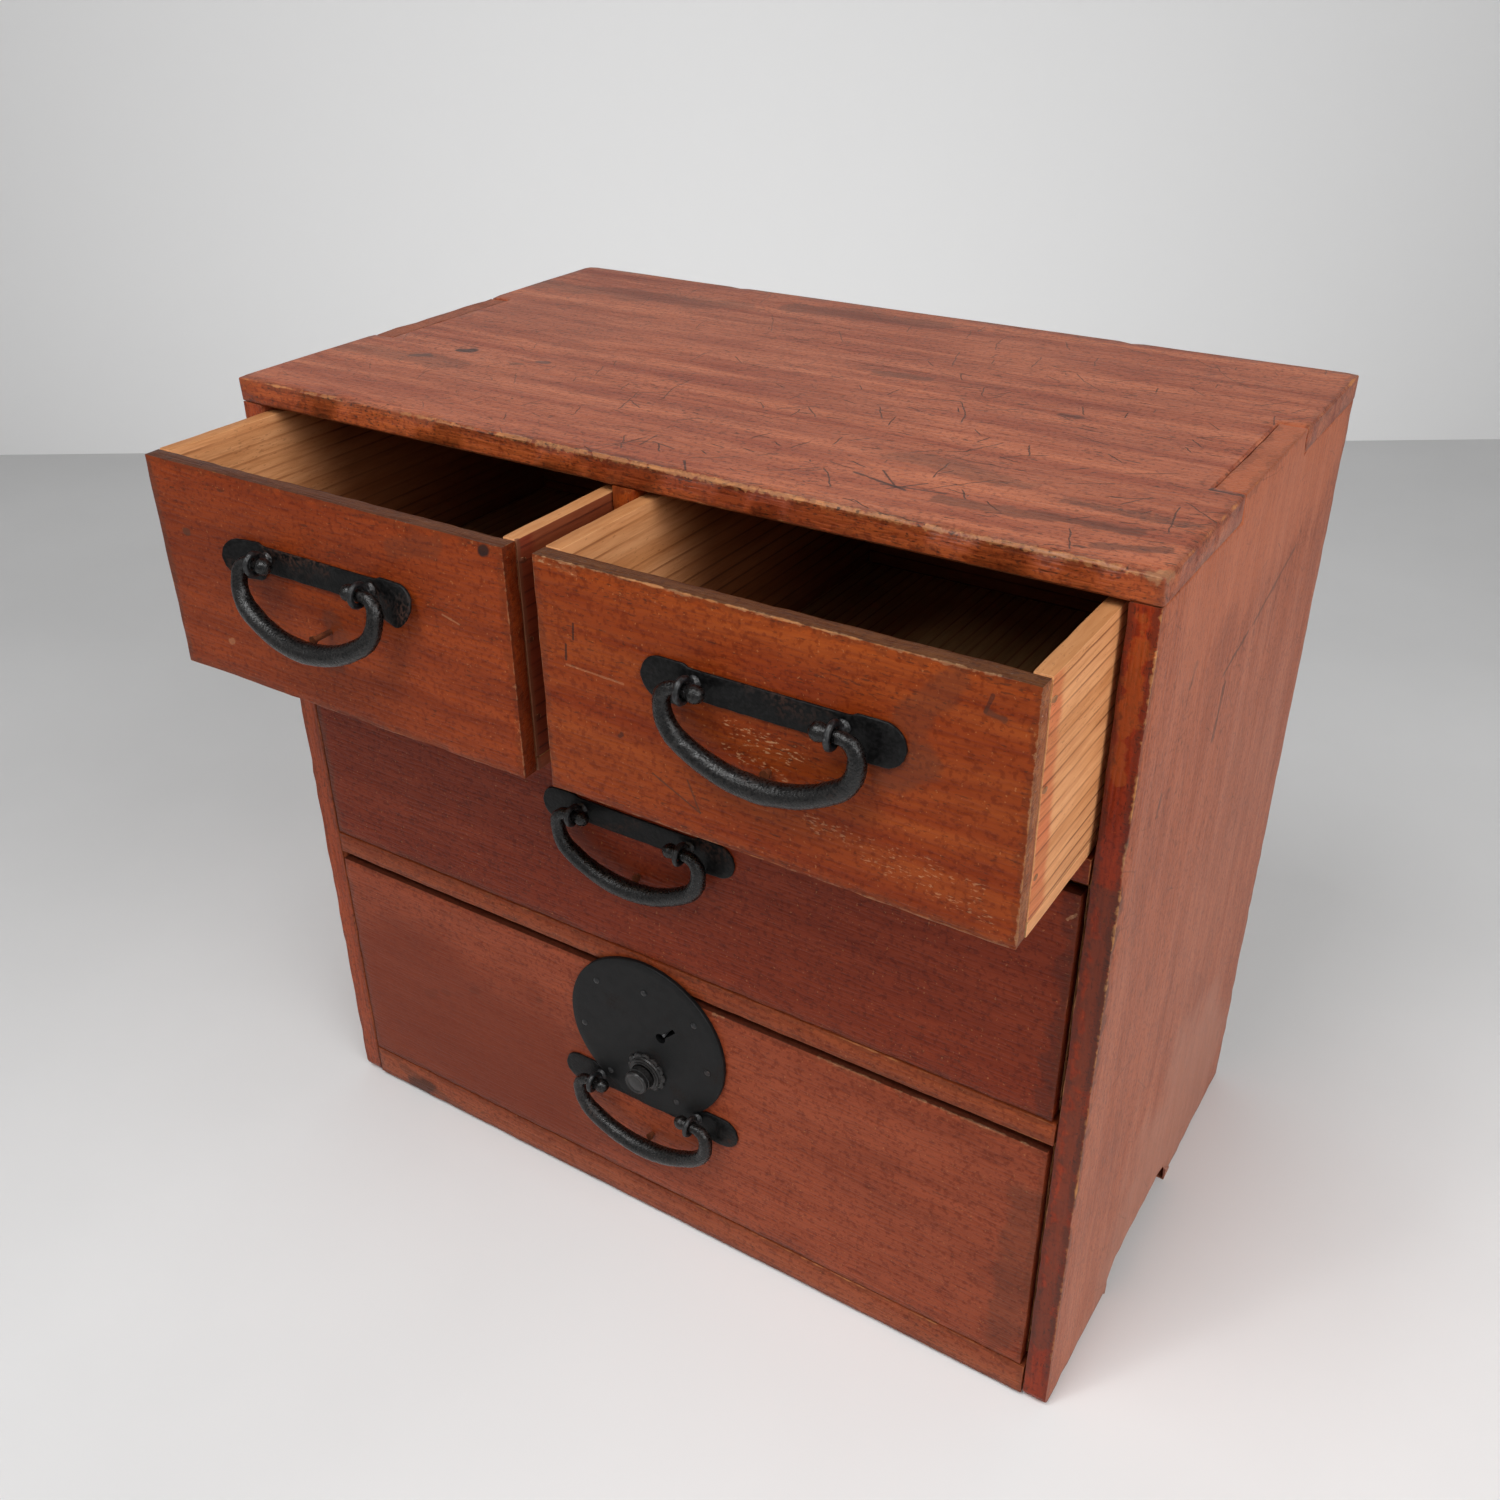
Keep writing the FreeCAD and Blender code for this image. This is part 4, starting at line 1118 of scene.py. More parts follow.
            piece = self.plate_of_cells(
                f"worn_{side}_side", columns, rows, dropped, lift,
                Vector((SIDE_WIDTH * MM, 0, 0)),
            )
            edge_x, inward = (near, -1) if near else (SIDE_WIDTH, 1)
            corner = chest_point(edge_x - self.rabbet * inward, BACK_DEPTH, 14)
            far = chest_point(edge_x + 2 * inward, CASE_DEPTH + 7, top[0].z / MM)
            cutter = squared(
                "rabbet", Vector(map(min, corner, far)), Vector(map(max, corner, far)),
            )
            tidy(piece, 50)
            carve(piece, [cutter])
            with editing(piece, "EDGE"):
                pick(piece, "edges", lambda edge: edge_is_sharp(edge) and all(
                    vertex.co.z < MM and vertex.co.y < FRONT_Y + MM for vertex in edge.verts
                ) and edge_runs_along(0)(edge))
                bpy.ops.mesh.bevel(
                    offset=self.foot_round * MM, segments=4, profile=0.5, affect="EDGES",
                )
            soften(piece, 0.9 * MM, 2)
            for nick in SIDE_NICKS[side]:
                nick.press(piece)
            push_by_noise(piece, self.side_wear * MM, 0.010, 0.93, on_arris)
            push_by_noise(piece, 0.0004, 0.07, 0.5)
            middle = (low.x + high.x) / 2
            for vertex in piece.data.vertices:
                vertex.co.z = max(vertex.co.z, 0.0)
                on_shoulder = abs(vertex.co.z - top[0].z) < self.shoulder_reach * MM
                if on_shoulder and abs(vertex.co.x - middle) < self.shoulder_half * MM:
                    vertex.co.z = top[0].z + self.shoulder_lift * MM
            tidy(piece, 50)
            finish = SIDE_FINISHES[side]
            dress(piece, "case", "case_wood", finish.material(low, high), f"{side}_side")

    def build_rails(self) -> None:
        """The rails, the shelf and the divider, whose front edges show between the drawers."""
        strike_low, strike_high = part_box("lock_strike")
        for board in CASE_BOARDS:
            cutters = []
            if board.node == "lower_rail":
                over = Vector((0, 0, 0.003))
                cutters = [squared("strike_space", strike_low - over, strike_high)]
                bolt_low, bolt_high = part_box("lock_bolt")
                gap = Vector((0.3 * MM, 0.3 * MM, 0))
                cutters.append(squared(
                    "bolt_space", bolt_low - gap,
                    Vector((*(bolt_high + gap).xy, strike_low.z + 6 * MM)),
                ))
            board.build(cutters)

    def dress_plain_nodes(self) -> None:
        """The back panel, bottom board, runners and nails keep their solids."""
        for node, finish in PLAIN_NODES.items():
            finish_node(node, finish.material(*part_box(node)))
        finish_node("case_nails", RUSTY_NAILS.material())
        finish_node("lock_strike", LOCK_IRON.material())


def grid_places(fixed: Sequence[float], pitch: float) -> list[float]:
    """Places between fixed ones, no further apart than a pitch, all in order."""
    ordered = sorted(fixed)
    places = [ordered[0]]
    for start, end in zip(ordered, ordered[1:]):
        count = max(1, math.ceil((end - start) / pitch))
        places += [start + (end - start) * number / count for number in range(1, count + 1)]
    return places


TOP_NICKS = (
    Nick((418.5, 2, 403), 9, 1.6, (-1, 1, -1)),
    *(Nick((across, 0, 404), reach, depth, (0, 1, -1)) for across, reach, depth in (
        (409, 7, 1.0), (352, 9, 0.9), (330, 6, 0.7), (142, 6, 0.8), (93, 8, 1.1), (81, 6, 1.2),
        (68, 6, 0.9),
    )),
    *(Nick((across, CASE_DEPTH, 404), 5, 0.7, (0, -1, -1)) for across in (100, 319)),
    Nick((CASE_WIDTH, 34, 404), 9, 0.9, (-1, 0, -1)),
)
SIDE_NICKS = {
    "left": (Nick((0, 0, 210), 8, 0.8, (1, 1, 0)),),
    "right": tuple(
        Nick((CASE_WIDTH, 0, height), reach, depth, (-1, 1, 0)) for height, reach, depth in (
            (300, 7, 1.1), (292, 6, 1.3), (340, 7, 0.8), (255, 7, 0.8), (188, 8, 0.7),
            (120, 8, 0.7),
        )
    ),
}

TOP_MARKS = (
    *marks_on(
        2, 404,
        (57, 83, 61, 85, 3.6, BLACK, 0.85, 1.6),
        (44, 66, 50, 69, 3.0, (0.05, 0.035, 0.03), 0.7, 1.8),
        (100, 86, 104, 87, 2.6, (0.06, 0.035, 0.03), 0.7, 1.8),
        (92, 78, 96, 79, 2.0, BROWN, 0.6, 1.6), (8, 60, 70, 64, 8, BROWN, 0.35, 2.6, 60),
        (8, 205, 120, 214, 12, BROWN, 0.35, 2.6, 50), (150, 232, 230, 236, 9, BROWN, 0.4, 2.6, 60),
        (300, 58, 352, 52, 7, BROWN, 0.4, 2.8, 70),
        (368, 46, 414, 45, 3.4, BLACK, 0.6, 3.2, 170, 0.35),
        (330, 24, 398, 30, 4.5, BROWN, 0.55, 2.6, 110),
        (392, 12, 412, 20, 3.0, BLACK, 0.5, 2.2, 140),
        (292, 33, 316, 26, 0.8, BLACK, 0.8, 2.2, 250),
        (306, 27, 330, 30, 0.7, BLACK, 0.7, 2.2, 250),
        (300, 40, 312, 27, 0.5, BLACK, 0.8, 1.6, 250),
        (320, 36, 310, 24, 0.5, BLACK, 0.8, 1.6, 250),
        (240, 150, 262, 151, 3.5, BROWN, 0.5, 2.4, 90), (331, 134, 338, 135, 2.4, BLACK, 0.6, 1.8),
        (408, 81, 408, 167, 0.7, BLACK, 0.65, 2.0, 300),
        (408, 81, 420, 81, 0.8, BLACK, 0.8, 1.6, 300),
        (408, 167, 420, 167, 0.8, BLACK, 0.7, 1.6, 300),
        (150, 0, 418, 0, 1.7, (0.72, 0.33, 0.12), 0.85, 3.2, 420, 0.45),
        (40, 0, 150, 0, 1.1, (0.66, 0.30, 0.11), 0.8, 3.2, 420, 0.45),
    ),
    Mark((20, 0, 402.5), (410, 0, 402.5), 1.6, BLACK, 0.8, 3.6, 620, 0.8),
    Mark((160, 3, 404), (415, 3, 404), 2.2, BROWN, 0.5, 3.4, 620, 0.7),
    Mark((10, 0, 398), (412, 0, 398), 6, BLACK, 0.6, 3.0, 300, 0.92),
    Mark((413, 0, 403), (420, 6, 402), 2.4, (0.42, 0.21, 0.10), 0.6, 2.4, 420),
    *marks_on(
        2, 404,
        (232, 11, 238, 3, 0.5, BLACK, 0.8, 1.2, 300),
        (209, 23, 221, 20, 0.5, BLACK, 0.7, 1.2, 300),
        (206, 30, 207, 17, 0.5, BLACK, 0.7, 1.2, 300),
    ),
)
TOP_FINISH = StainedWood(
    "stained_top", Cut.LYING, TOP_LIGHT, TOP_DARK, wear=0.9, wear_share=0.7, blotch=0.25,
    pore=0.8, hairline=1.0, worked=(330, 40, 404), figure=0.72, grit=0.9, dust_and_sheen=0.04,
    roughness=0.44, gloss=0.34, seed=1.0,
    tints=(Tint((0, -1, 0), (0.90, 0.64, 0.32)),),
    marks=TOP_MARKS,
)
RIGHT_SIDE_MARKS = (
    *marks_on(
        0, 420,
        (96, 328, 124, 334, 1.2, BROWN, 0.7, 2.2, 120),
        (132, 335, 185, 348, 1.2, BROWN, 0.6, 2.2, 120),
        (96, 300, 100, 322, 1.8, BLACK, 0.55, 1.8, 140),
        (48, 344, 52, 352, 1.5, BLACK, 0.6, 1.6, 200),
        (30, 300, 32, 308, 1.4, BLACK, 0.5, 1.6, 200),
        (0, 291, 1, 303, 1.8, (0.62, 0.33, 0.14), 0.7, 1.8, 300),
        (0, 300, 2, 306, 1.8, BLACK, 0.7, 1.6, 220),
    ),
    *marks_on(
        1, 0,
        (414, 40, 417, 280, 5.0, BROWN, 0.5, 3.6, 110),
        (413, 330, 414, 388, 3.4, (0.36, 0.09, 0.015), 0.4, 4.4, 150),
        (420, 240, 420, 392, 1.3, (0.66, 0.31, 0.11), 0.85, 3.0, 420, 0.3),
        (420, 20, 420, 240, 1.1, (0.60, 0.26, 0.09), 0.7, 3.0, 420, 0.4),
        (418, 20, 418, 392, 1.6, BLACK, 0.7, 3.6, 520, 0.6),
        (409, 20, 409, 392, 1.8, BLACK, 0.6, 3.6, 300, 0.4),
    ),
    *marks_on(
        0, 420,
        (90, 0, 160, 40, 75, (0.46, 0.20, 0.13), 0.5, 2.2, 14),
        (50, 380, 210, 380, 34, (0.58, 0.17, 0.075), 0.35, 2.2, 24),
    ),
)
SIDE_FINISHES = {
    "left": StainedWood(
        "stained_left_side", Cut.UPRIGHT, SIDE_LIGHT, SIDE_DARK, wear=0.8, dust_and_sheen=0.10,
        roughness=0.46, gloss=0.22, seed=2.0, hairline=0.4,
        tints=(
            Tint((0, -1, 0), (0.78, 0.50, 0.30)),
            Tint((0, 0, 1), (0.66, 0.66, 0.66), 0.8),
        ),
    ),
    "right": StainedWood(
        "stained_right_side", Cut.UPRIGHT, SIDE_LIGHT, SIDE_DARK, wear=0.8, dust_and_sheen=0.10,
        roughness=0.46, gloss=0.22, seed=3.4, hairline=0.3, worn=(0.60, 0.27, 0.09), figure=0.5,
        tints=(
            Tint((0, -1, 0), (0.66, 0.25, 0.08)),
            Tint((0, 0, 1), (0.66, 0.66, 0.66), 0.8),
        ),
        marks=RIGHT_SIDE_MARKS,
    ),
}
BOTTOM_RAIL_MARKS = marks_on(
    1, 0,
    (42, 4, 50, 8, 7, BLACK, 0.7, 1.8, 90), (30, 14, 70, 4, 3, BROWN, 0.4, 2.2, 90),
    (12.3, 2, 12.3, 20, 0.6, BLACK, 0.7, 0.8),
)
CASE_BOARDS = tuple(
    Board(
        node, "case", "case_wood",
        StainedWood(f"stained_{look}", cut, light, dark, seed=seed, wear=0.6, marks=marks),
        chest_point(*low), chest_point(*high), 0.5, 0.6, pitch,
    )
    for node, look, cut, light, dark, seed, marks, low, high, pitch in (
        ("lower_rail", "lower_rail", Cut.FACING, (0.34, 0.075, 0.022), (0.23, 0.042, 0.013), 4.1,
         (), (12, 0, 155.2), (408, 34, 167.2), 6.0),
        ("bottom_rail", "bottom_rail", Cut.FACING, (0.36, 0.090, 0.034), (0.25, 0.052, 0.020),
         5.3, BOTTOM_RAIL_MARKS, (12, 0, 2), (408, 16, 20), 6.0),
        ("upper_shelf", "shelf", Cut.FACING, SHADED_FACE_LIGHT, SHADED_FACE_DARK, 6.7,
         (), (12, 0, 282.7), (408, 246, 294), 9),
        ("divider", "divider", Cut.UPRIGHT_FACING, FACE_LIGHT, FACE_DARK, 7.9,
         (), (205.3, 0, 294), (216.3, 246, 393), 9),
    )
)
AGED_WOOD = {"light": (0.40, 0.22, 0.10), "dark": (0.27, 0.135, 0.06), "soot": 0.5}
PLAIN_NODES = {
    node: BareWood(f"{node}_wood", cut, seed=seed, spacing=spacing, **AGED_WOOD)
    for node, cut, seed, spacing in (
        ("back_panel", Cut.FACING, 1.3, 9), ("bottom_board", Cut.LYING, 2.3, 9),
        ("left_runner", Cut.DEEP_LYING, 3.3, 6.0), ("right_runner", Cut.DEEP_LYING, 4.3, 6.0),
    )
}
RUSTY_NAILS = BlackIron("rusty_nails", rust_share=0.9, roughness=0.7)
LOCK_IRON = BlackIron(
    "sheet_iron", (0.0034, 0.0036, 0.0038), (0.0088, 0.0092, 0.0094), rust_share=0.2, grain=1400,
    dent=0.00018, roughness=0.5, gloss=0.20,
)
FORGED_IRON = BlackIron(
    "forged_iron", dent=0.0006, roughness=0.34,
    # A painted highlight: a pale grey spot on the right drawer handle's right eye pin.
    marks=(Mark((342, -76, 360), (342, -77, 364), 1.3, (0.55, 0.55, 0.55), 0.8, 0.6),),
)
STRAP_IRON = BlackIron(
    "strap_iron", (0.0015, 0.0015, 0.0016), (0.012, 0.0115, 0.0115), (0.075, 0.030, 0.018), 0.5,
    grain=700, roughness=0.42, gloss=0.16,
)


# The drawers


@dataclass
class Drawer:
    """A drawer box with its stained front and its pegs."""

    name: str
    face: StainedWood
    seed: float
    stained_side: float | None = None
    side_marks: tuple[Mark, ...] = ()
    peg_proud: float = 0.12
    # Tint on the outer face of the right side board, its pegs and its bottom's end: stain, and on
    # the left drawer also painted shade in the gap between the small drawers.
    outer_stain_and_shade: Colour = (1.0, 1.0, 1.0)

    def build(self, cutters: Sequence[Object] = ()) -> None:
        """Model and dress the drawer's boards and pegs."""
        Board(
            f"{self.name}_front", self.name, "drawer_face_wood", self.face, arris=0.7, wear=0.9,
            pitch=5,
        ).build(cutters)
        for part, wear, finish in self.inner_boards():
            Board(
                f"{self.name}_{part}", self.name, "drawer_wood", finish, arris=wear, wear=wear,
                pitch=9,
            ).build()
        self.build_pegs()

    def inner_boards(self) -> Iterator[tuple[str, float, BareWood]]:
        """The name, the wear in millimetres and the finish of each board behind the front."""
        soot = 0.2 if self.stained_side is not None else 0.35
        for number, side in enumerate(("left_side", "right_side")):
            yield side, 0.5, BareWood(
                f"{self.name}_{side}_wood", Cut.DEEP, seed=self.seed + number, soot=soot,
                bleed_y=self.stained_side, marks=self.side_marks if number else (),
                inside=(1.0 - 2 * number, 0.0, 0.0), depth_shade=0.95,
                tints=(
                    Tint((0, 0, 1), (0.62, 0.60, 0.54)),
                    Tint((1, 0, 0), self.outer_stain_and_shade if number else (1.0, 1.0, 1.0)),
                ),
            )
        yield "back", 0.5, BareWood(
            f"{self.name}_back_wood", Cut.FACING, seed=self.seed + 2.5, soot=0.4,
            inside=(0, -1, 0), depth_shade=0.95,
        )
        yield "bottom", 0.4, BareWood(
            f"{self.name}_bottom_wood", Cut.DEEP_LYING, seed=self.seed + 3.5,
            light=(0.50, 0.30, 0.13), dark=(0.38, 0.21, 0.085), soot=0.3, depth_shade=0.2,
            marks=self.side_marks,
            tints=(
                Tint((1, 0, 0), tuple(1.4 * part for part in self.outer_stain_and_shade)),
                Tint((1, 0, 0), (1.2, 0.95, 0.96)), Tint((-1, 0, 0), (1.6, 1.3, 1.3)),
            ),
        )

    def build_pegs(self) -> None:
        """The pegs, standing a hair proud of the boards that they hold."""
        node = f"{self.name}_pegs"
        piece = copied(node, f"trimmed_{node}")
        with editing(piece, "VERT"):
            bpy.ops.mesh.select_all(action="SELECT")
            bpy.ops.mesh.remove_doubles(threshold=MERGE_DISTANCE)
        low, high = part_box(node)
        proud = self.peg_proud * MM
        for vertex in piece.data.vertices:
            for axis in (0, 2):
                if vertex.co[axis] - low[axis] < FLUSH_DISTANCE:
                    vertex.co[axis] -= proud
                elif axis == 0 and high[axis] - vertex.co[axis] < FLUSH_DISTANCE:
                    vertex.co[axis] += proud
        bpy.ops.object.shade_smooth_by_angle(angle=SHARP_ANGLE)
        finish = BareWood(
            f"{self.name}_peg_wood", Cut.FACING, (0.40, 0.19, 0.085), (0.28, 0.12, 0.05),
            seed=self.seed, line_share=0.3, tints=(Tint((1, 0, 0), self.outer_stain_and_shade),),
        )
        dress(piece, self.name, "bamboo", finish.material(low, high), node)


STAINED_SIDE = chest_point(0, -44, 0).y
SMALL_TOP_EDGE = Tint((0, 0, 1), (0.42, 0.85, 1.9))
# Painted shade on the top edges of the middle and bottom drawer fronts, which sit just under the
# rails.
SHADED_LOW_TOP_EDGE = Tint((0, 0, 1), (0.28, 0.32, 0.40))
DRAWER_ENDS = Tint((1, 0, 0), (1.25, 2.3, 5.0))
# The left drawer's right end: the face's stain, darkened further by painted shade for the gap
# between the small drawers.
DARK_END = Tint((1, 0, 0), (0.55, 0.50, 0.60))
LEFT_END = Tint((-1, 0, 0), (1.25, 2.3, 5.0))
LEFT_FACE_MARKS = (
    *marks_on(
        1, -62.9,
        (195.5, 386.5, 196.5, 387, 2.6, BLACK, 0.95, 0.3),
        (30, 359, 31, 359.5, 2.2, BROWN, 0.8, 1.2),
        (172, 356, 180, 354, 0.5, PALE, 0.25, 1.8, 300),
        (204.7, 296, 204.7, 388, 0.6, PALE, 0.4, 3.0, 420, 0.5),
        (24, 294.6, 200, 294.6, 0.6, PALE, 0.35, 3.0, 420, 0.6),
        (107, 324, 112, 330, 10, BROWN, 0.4, 2.4, 90),
        (44, 312, 46, 313, 1.3, (0.45, 0.20, 0.09), 0.45, 2.2, 260),
        (150, 378, 172, 383, 5, BROWN, 0.3, 2.6, 90),
        (12.5, 300, 12.6, 385, 4, BROWN, 0.35, 2.2, 70),
    ),
)
RIGHT_FACE_MARKS = (
    *marks_on(
        1, -61.5,
        (364, 367, 376, 385, 6.5, BROWN, 0.35, 2.4, 70),
        (389, 377, 391, 383, 0.7, BLACK, 0.6, 1.4), (390, 377, 395, 376, 1.6, BROWN, 0.7, 1.4),
        (357, 346, 367, 352, 9, BROWN, 0.45, 2.0, 80),
        (229, 350, 254, 349, 0.5, PALE, 0.5, 1.6, 260, 0.6),
        (233, 361, 233.5, 367, 0.6, BLACK, 0.8, 0.8), (229, 352, 229.5, 358, 0.6, BLACK, 0.8, 0.8),
        (251, 327, 252, 328, 1.5, BLACK, 0.7, 1.6),
        (265, 316, 285, 306, 0.5, BROWN, 0.8, 1.0, 200),
        (285, 306, 280, 318, 0.5, BROWN, 0.7, 1.0, 200),
        (300, 344, 322, 341, 5, PALE, 0.5, 2.4, 220, 1),
        (298, 336, 318, 332, 4, PALE, 0.45, 2.4, 220, 1),
        (219, 388, 236, 386.5, 1.1, PALE, 0.6, 3.4, 420, 0.9),
        (330, 318, 390, 314, 4, PALE, 0.3, 2.4, 160, 1),
        (350, 311, 396, 303, 3, PALE, 0.3, 2.4, 160, 1),
        (222, 390, 392, 390, 1.0, PALE, 0.6, 3.0, 420, 0.5),
        (405.9, 297, 405.9, 388, 0.7, PALE, 0.5, 3.0, 420, 0.4),
        (216.9, 297, 216.9, 388, 0.6, PALE, 0.4, 3.0, 420, 0.5),
        (220, 294.7, 403, 294.7, 0.7, PALE, 0.45, 3.0, 420, 0.5),
    ),
)
MIDDLE_FACE_MARKS = (
    *marks_on(
        1, 0,
        (102, 258, 103, 266, 1.4, BLACK, 0.8, 1.4, 240),
        (300, 254, 309, 252, 2.4, BROWN, 0.7, 2.4, 220),
        (196, 240, 215, 235, 6, (0.42, 0.17, 0.08), 0.4, 2.4, 220, 1),
        (12.5, 170, 12.6, 276, 4, BROWN, 0.35, 2.2, 70),
        (403, 168, 405, 277, 5, BLACK, 0.35, 3.0, 90),
        (402, 266, 405, 269, 0.7, PALE, 0.5, 2.8, 420, 0.5),
    ),
)
BOTTOM_FACE_MARKS = (
    *marks_on(
        1, 0,
        (95, 98, 97, 99, 3.0, BROWN, 0.65, 1.6), (62, 82, 66, 83, 3.4, BROWN, 0.5, 1.8),
        (74, 88, 76, 88, 2.4, BROWN, 0.45, 1.8), (140, 112, 141, 112, 1.8, BROWN, 0.5, 1.6),
        (395, 30, 400, 120, 9, BROWN, 0.35, 2.2, 60),
        (245, 150, 251, 151, 0.8, PALE, 0.6, 2.8, 420, 0.5),
        (16, 60, 110, 60, 70, (0.16, 0.024, 0.007), 0.75, 1.4, 16),
        (300, 151, 400, 151, 0.9, PALE, 0.5, 3.0, 420, 0.6),
        # Painted shade: near black round the keyhole, to darken the hole's walls in the front
        # board.
        (218, 124, 220, 128, 16, (0.004, 0.003, 0.003), 1.0, 0.1),
    ),
)
DRAWERS = (
    Drawer(
        "left_drawer",
        StainedWood(
            "left_drawer_face", Cut.FACING, (0.32, 0.055, 0.009), (0.20, 0.030, 0.006),
            seed=11.0, wear=0.8, tints=(SMALL_TOP_EDGE, DARK_END, LEFT_END),
            marks=LEFT_FACE_MARKS,
        ),
        # Stain and painted shade on the outer face of its right side board, in the gap beside the
        # right drawer.
        21.0, STAINED_SIDE, outer_stain_and_shade=(0.26, 0.13, 0.10),
        side_marks=(
            Mark((205.2, -54.7, 294), (205.2, -54.7, 392), 1.9, (0.13, 0.034, 0.013), 0.9, 0.6),
        ),
    ),
    Drawer(
        "right_drawer",
        StainedWood(
            "right_drawer_face", Cut.FACING, FACE_LIGHT, FACE_DARK, seed=12.6, wear=0.8,
            tints=(SMALL_TOP_EDGE, DRAWER_ENDS, LEFT_END),
            marks=RIGHT_FACE_MARKS,
        ),
        24.0, STAINED_SIDE,
        side_marks=(
            *marks_on(
                0, 408,
                (-53, 352, -53, 355, 0.8, BLACK, 0.7, 1.0, 300),
                (-19, 306, -18.5, 306.4, 1.0, BLACK, 0.8, 0.8),
                (-51, 317.5, -50.5, 318, 1.2, (0.3, 0.13, 0.06), 0.6, 0.8),
            ),
        ),
    ),
    Drawer(
        "middle_drawer",
        StainedWood(
            "middle_drawer_face", Cut.FACING, SHADED_FACE_LIGHT, SHADED_FACE_DARK, seed=13.7, wear=0.4,
            pore=0.5, wear_share=0.35, tints=(SHADED_LOW_TOP_EDGE,),
            marks=MIDDLE_FACE_MARKS,
        ),
        27.0,
    ),
    Drawer(
        "bottom_drawer",
        StainedWood(
            "bottom_drawer_face", Cut.FACING, BOTTOM_LIGHT, BOTTOM_DARK, seed=14.9, wear=0.45,
            pore=0.4, blotch=0.4, wear_share=0.4, tints=(SHADED_LOW_TOP_EDGE,),
            marks=BOTTOM_FACE_MARKS,
        ),
        30.0,
    ),
)


# The handles


@dataclass
class Handle:
    """A forged bail handle: strap plate, two eye pins, bail and stop stud."""

    drawer: str
    lift: float = 0.0
    bent: bool = False
    half: float = 51.0
    lobe: float = 8.3
    lobe_length: float = 17.0
    waist: float = 5.65
    waist_rise: float = 1.4
    slope: float = 4.0
    thickness: float = 1.2
    eye_side: float = 28.5
    eye_radius: float = 4.2
    eye_wire: float = 1.25
    pivot_rise: float = 2.5
    voxel: float = 0.38
    lobe_bend: float = 4.6
    lobe_twist: float = 26
    width: float = 81.5
    drop: float = 34.0
    shoulder: float = 6.0
    shoulder_drop: float = 8.0
    corner: float = 14.0
    end_radius: float = 2.6
    side_radius: float = 3.3
    middle_radius: float = 4.6
    knob: float = 3.5
    knob_side: float = 23.5

    def __post_init__(self) -> None:
        """Find the handle's places from its nodes."""
        plate_low, plate_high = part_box(f"{self.drawer}_handle_plate")
        pins_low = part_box(f"{self.drawer}_eye_pins")[0]
        self.face_y = plate_high.y
        self.centre = (plate_low + plate_high) / 2
        self.pivot = Vector((
            self.centre.x, pins_low.y + (self.eye_radius + self.eye_wire) * MM,
            (plate_low.z + plate_high.z) / 2 + self.pivot_rise * MM,
        ))

    def build(self) -> None:
        """Model and dress the handle."""
        self.build_plate()
        self.build_eyes()
        self.build_bail()
        finish_node(f"{self.drawer}_stop_stud", STUD_MATERIAL)

    def half_height(self, across: float) -> float:
        """Half the plate's height at a place along it, in millimetres."""
        far = abs(across)
        centre = self.half - self.lobe
        shoulder = self.half - self.lobe_length
        waist = shoulder - self.slope
        if far > centre:
            return math.sqrt(max(self.lobe ** 2 - (far - centre) ** 2, 0.09))
        if far > shoulder:
            return self.lobe
        if far > waist:
            share = (far - waist) / self.slope
            return self.waist + (self.lobe - self.waist) * share * share * (3 - 2 * share)
        return self.waist

    def rise(self, across: float) -> float:
        """How far the plate's middle line rises in its waist, in millimetres."""
        shoulder = self.half - self.lobe_length
        waist = shoulder - self.slope
        share = min(max((shoulder - abs(across)) / (shoulder - waist), 0), 1)
        return self.waist_rise * share

    def build_plate(self) -> None:
        """The strap plate, hammered out of a bar and a little uneven."""
        low = Vector((-1, -self.thickness * MM, -1))
        piece = squared(f"forged_{self.drawer}_handle_plate", low, Vector((1, 0, 1)))
        divide(piece, (72, 0, 4))
        columns = sorted({round(vertex.co.x, 5) for vertex in piece.data.vertices})
        turns = {place: number / (len(columns) - 1) for number, place in enumerate(columns)}
        for vertex in piece.data.vertices:
            share = turns[round(vertex.co.x, 5)] * 2 - 1
            across = self.half * (share * 0.82 + 0.18 * math.sin(share * math.pi / 2) ** 3)
            height = vertex.co.z * self.half_height(across) + self.rise(across)
            vertex.co.x = self.centre.x + across * MM
            vertex.co.z = self.centre.z + height * MM
            vertex.co.y += self.face_y
        soften(piece, 0.35 * MM, 2)
        if self.bent:
            self.bend_lobes(piece)
        push_by_noise(piece, 0.0007, 0.006, 0.42, self.plate_weight)
        tidy(piece, 45)
        dress(piece, self.drawer, "forged_iron", STRAP_MATERIAL, f"{self.drawer}_handle_plate")

    def plate_weight(self, vertex: bpy.types.MeshVertex) -> float:
        """A weight of 1 on the plate's front, and none where it lies on the wood."""
        return 1.0 if vertex.co.y < self.face_y - 0.6 * MM else 0.0

    def bend_lobes(self, piece: Object) -> None:
        """Bend the left lobe out, and twist the right one."""
        for vertex in piece.data.vertices:
            across = (vertex.co.x - self.centre.x) / MM
            if across < -29:
                out = (-across - 29) / 22
                vertex.co.y -= self.lobe_bend * MM * out * out
            if across > 31:
                twist = math.radians(self.lobe_twist) * (across - 31) / 20
                height = vertex.co.z - self.centre.z
                deep = vertex.co.y - self.face_y
                vertex.co.z = self.centre.z + height * math.cos(twist) + deep * math.sin(twist)
                vertex.co.y = self.face_y + deep * math.cos(twist) - abs(
                    height - self.lobe * MM
                ) * math.sin(twist)

